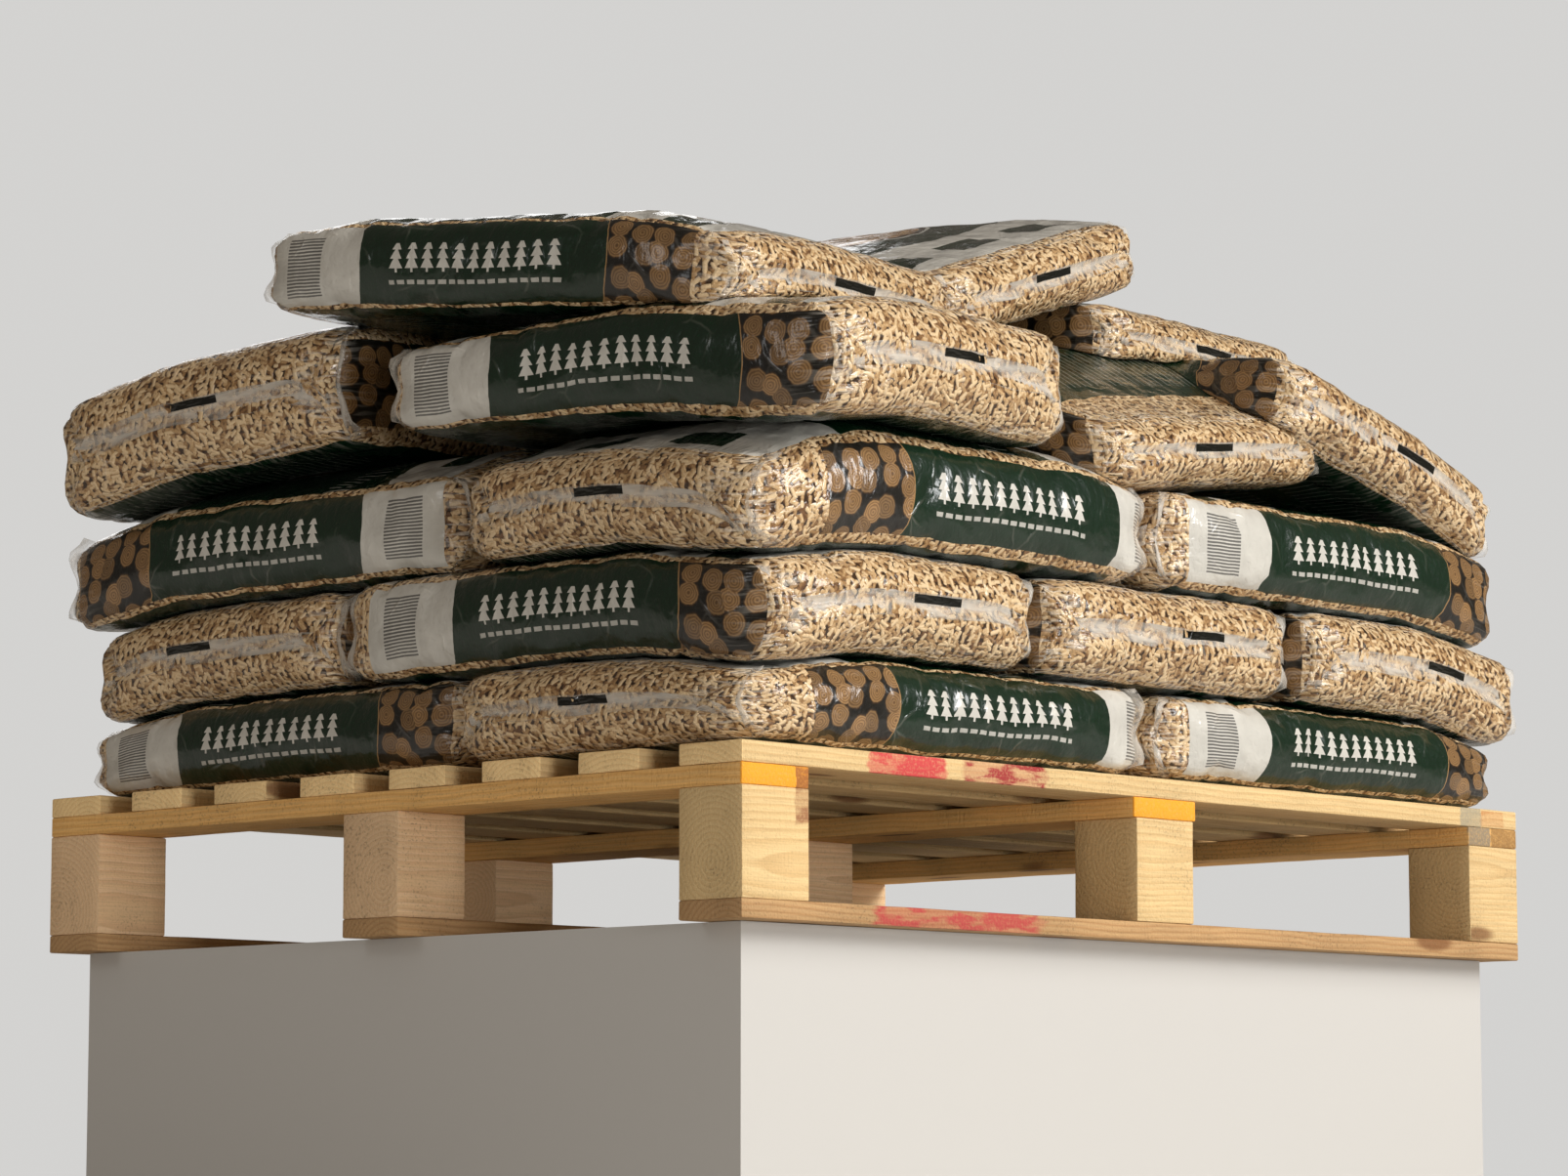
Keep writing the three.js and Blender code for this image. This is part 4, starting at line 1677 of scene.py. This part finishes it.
    def build(self) -> None:
        """Blows, fills, prints and lays every sack."""
        grid = SackGrid()
        rng = np.random.default_rng(self.seed)
        film = SackFilm()
        finishes = [
            film.material("clear_film_side_print", SidePrint()),
            film.material("clear_film_main_print", MainPrint()),
            film.material("clear_film_end"),
            SeamFilm().material("clear_film_weld"),
            film.material("clear_film_back_print", BackPrint()),
        ]
        folds = [SackCloth(grid, seed).folds() for seed in range(1, self.patterns + 1)]
        laid = []
        for number, place in enumerate(PILE):
            flips = tuple(1 if (number // self.patterns >> bit) & 1 else -1 for bit in range(3))
            fold = folds[number % self.patterns][grid.mirrored(flips)] * np.array(flips)
            points = self.pose(place, sack_shape(grid.spread, place) + fold)
            points = self.settle(grid, points, laid)
            faces = [face.vertices[:] for face in grid.mesh.polygons]
            tree = BVHTree.FromPolygons(points.tolist(), faces)
            laid.append((tree, points.min(0), points.max(0)))
            mesh = grid.mesh.copy()
            mesh.name = place.name + "_filled"
            mesh.vertices.foreach_set("co", points.ravel())
            self.write_film(grid, mesh, place, rng)
            mesh.shade_smooth()
            self.add_fins(grid, mesh, points, place, rng)
            for finish in finishes:
                mesh.materials.append(finish)
            sack = new_piece(mesh.name, mesh)
            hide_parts(place.name)
            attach(sack, BODY)
            LOG.info("laid %s", sack.name)


@dataclass
class Studio:
    """A pale floor with a low plinth, soft lamps, and the camera a little below the pallet."""

    camera_place: tuple[float, float, float] = (-3.614, -3.422, -0.224)
    aim: tuple[float, float, float] = (-0.018, 0.002, 0.391)
    lens: float = 108.0
    floor: float = -0.45
    inset: float = 0.03
    sun: float = 2.15
    ambient: float = 0.29
    mirrored: float = 0.13
    backdrop: float = 0.86
    sun_way: tuple[float, float, float] = (-0.45, 0.75, -0.62)
    lamps: tuple = (
        ("front", (1.9, -4.4, 2.0), 1.6, 95),
        ("low", (-1.9, -4.8, 0.12), 1.0, 66),
        ("left", (-4.6, 0.4, 2.2), 1.4, 12),
        ("back", (2.8, 4.4, 2.6), 2.4, 36),
    )

    def build(self) -> None:
        """Sets up the floor, the plinth, the lamps, the world and the camera."""
        self.add_floor()
        self.add_sun()
        for name, place, size, power in self.lamps:
            self.add_lamp(name, place, size, power)
        world = bpy.data.worlds.new("studio")
        bpy.context.scene.world = world
        world.use_nodes = True
        tree = world.node_tree
        background = tree.nodes["Background"]
        path = add_node(tree, "LightPath")
        seen, mirrored = path.outputs["Is Camera Ray"], path.outputs["Is Glossy Ray"]
        strength = add_node(tree, "MapRange", (mirrored, 0.0, 1.0, self.ambient, self.mirrored))
        strength = add_node(tree, "Mix", {0: seen, 2: strength, 3: self.backdrop})
        colour = add_node(
            tree, "Mix", {0: seen, 6: linear("#efdfcd"), 7: linear("#e2e1df")}, data_type="RGBA"
        )
        tree.links.new(strength.outputs[0], background.inputs["Strength"])
        tree.links.new(colour.outputs[2], background.inputs["Color"])
        bpy.context.scene.view_settings.view_transform = "Standard"
        data = bpy.data.cameras.new("camera")
        data.lens = self.lens
        data.sensor_width = 36
        camera = bpy.data.objects.new("camera", data)
        camera.location = self.camera_place
        direction = Vector(self.aim) - Vector(self.camera_place)
        camera.rotation_euler = direction.to_track_quat("-Z", "Y").to_euler()
        bpy.context.scene.collection.objects.link(camera)
        bpy.context.scene.camera = camera

    def add_sun(self) -> None:
        """Adds the broad main light, from the front and right, without its mirror image."""
        data = bpy.data.lights.new("main_light", "SUN")
        data.energy = self.sun
        data.angle = math.radians(34)
        data.color = (1.0, 0.97, 0.93)
        lamp = bpy.data.objects.new("main_light", data)
        lamp.rotation_euler = Vector(self.sun_way).to_track_quat("-Z", "Y").to_euler()
        lamp.visible_glossy = False
        bpy.context.scene.collection.objects.link(lamp)

    def add_floor(self) -> None:
        """Adds the floor and the plinth that the pallet stands on."""
        paint, tree, shader = new_material("pale_matt_paint")
        feed(tree, shader, Base_Color=linear("#c3c1bd"), Roughness=0.9, Specular_IOR_Level=0.1)
        bm = bmesh.new()
        bmesh.ops.create_circle(bm, cap_ends=True, radius=30.0, segments=64)
        bmesh.ops.translate(bm, vec=(0, 0, self.floor), verts=bm.verts)
        self.add_stage("floor", bm, paint)
        bm = bmesh.new()
        bmesh.ops.create_cube(bm, size=1.0)
        size = (1.2 - 2 * self.inset, 1.0 - 2 * self.inset, -self.floor)
        bmesh.ops.scale(bm, vec=size, verts=bm.verts)
        bmesh.ops.translate(bm, vec=(0, 0, self.floor / 2 - 0.0005), verts=bm.verts)
        self.add_stage("plinth", bm, paint)

    def add_stage(self, name: str, bm: bmesh.types.BMesh, paint: bpy.types.Material) -> None:
        """Turns a mesh into a piece of the studio.

        Args:
            name: its name.
            bm: its mesh.
            paint: its material.
        """
        mesh = bpy.data.meshes.new(name)
        bm.to_mesh(mesh)
        bm.free()
        mesh.materials.append(paint)
        new_piece(name, mesh)

    def add_lamp(self, name: str, place: tuple, size: float, power: float) -> None:
        """Hangs a soft square lamp that looks at the pile.

        Args:
            name: its name.
            place: where it hangs, in metres.
            size: its side, in metres.
            power: its light, in watts.
        """
        data = bpy.data.lights.new(name, "AREA")
        data.size = size
        data.energy = power
        lamp = bpy.data.objects.new(name, data)
        lamp.location = place
        direction = Vector((0, 0, 0.4)) - Vector(place)
        lamp.rotation_euler = direction.to_track_quat("-Z", "Y").to_euler()
        bpy.context.scene.collection.objects.link(lamp)


def main() -> None:
    """Builds the studio, the pallet and its load."""
    logging.basicConfig(level=logging.INFO, format="%(message)s")
    noise.seed_set(NOISE_SEED)
    Studio().build()
    Pallet().build()
    Load().build()


if __name__ == "__main__":
    main()
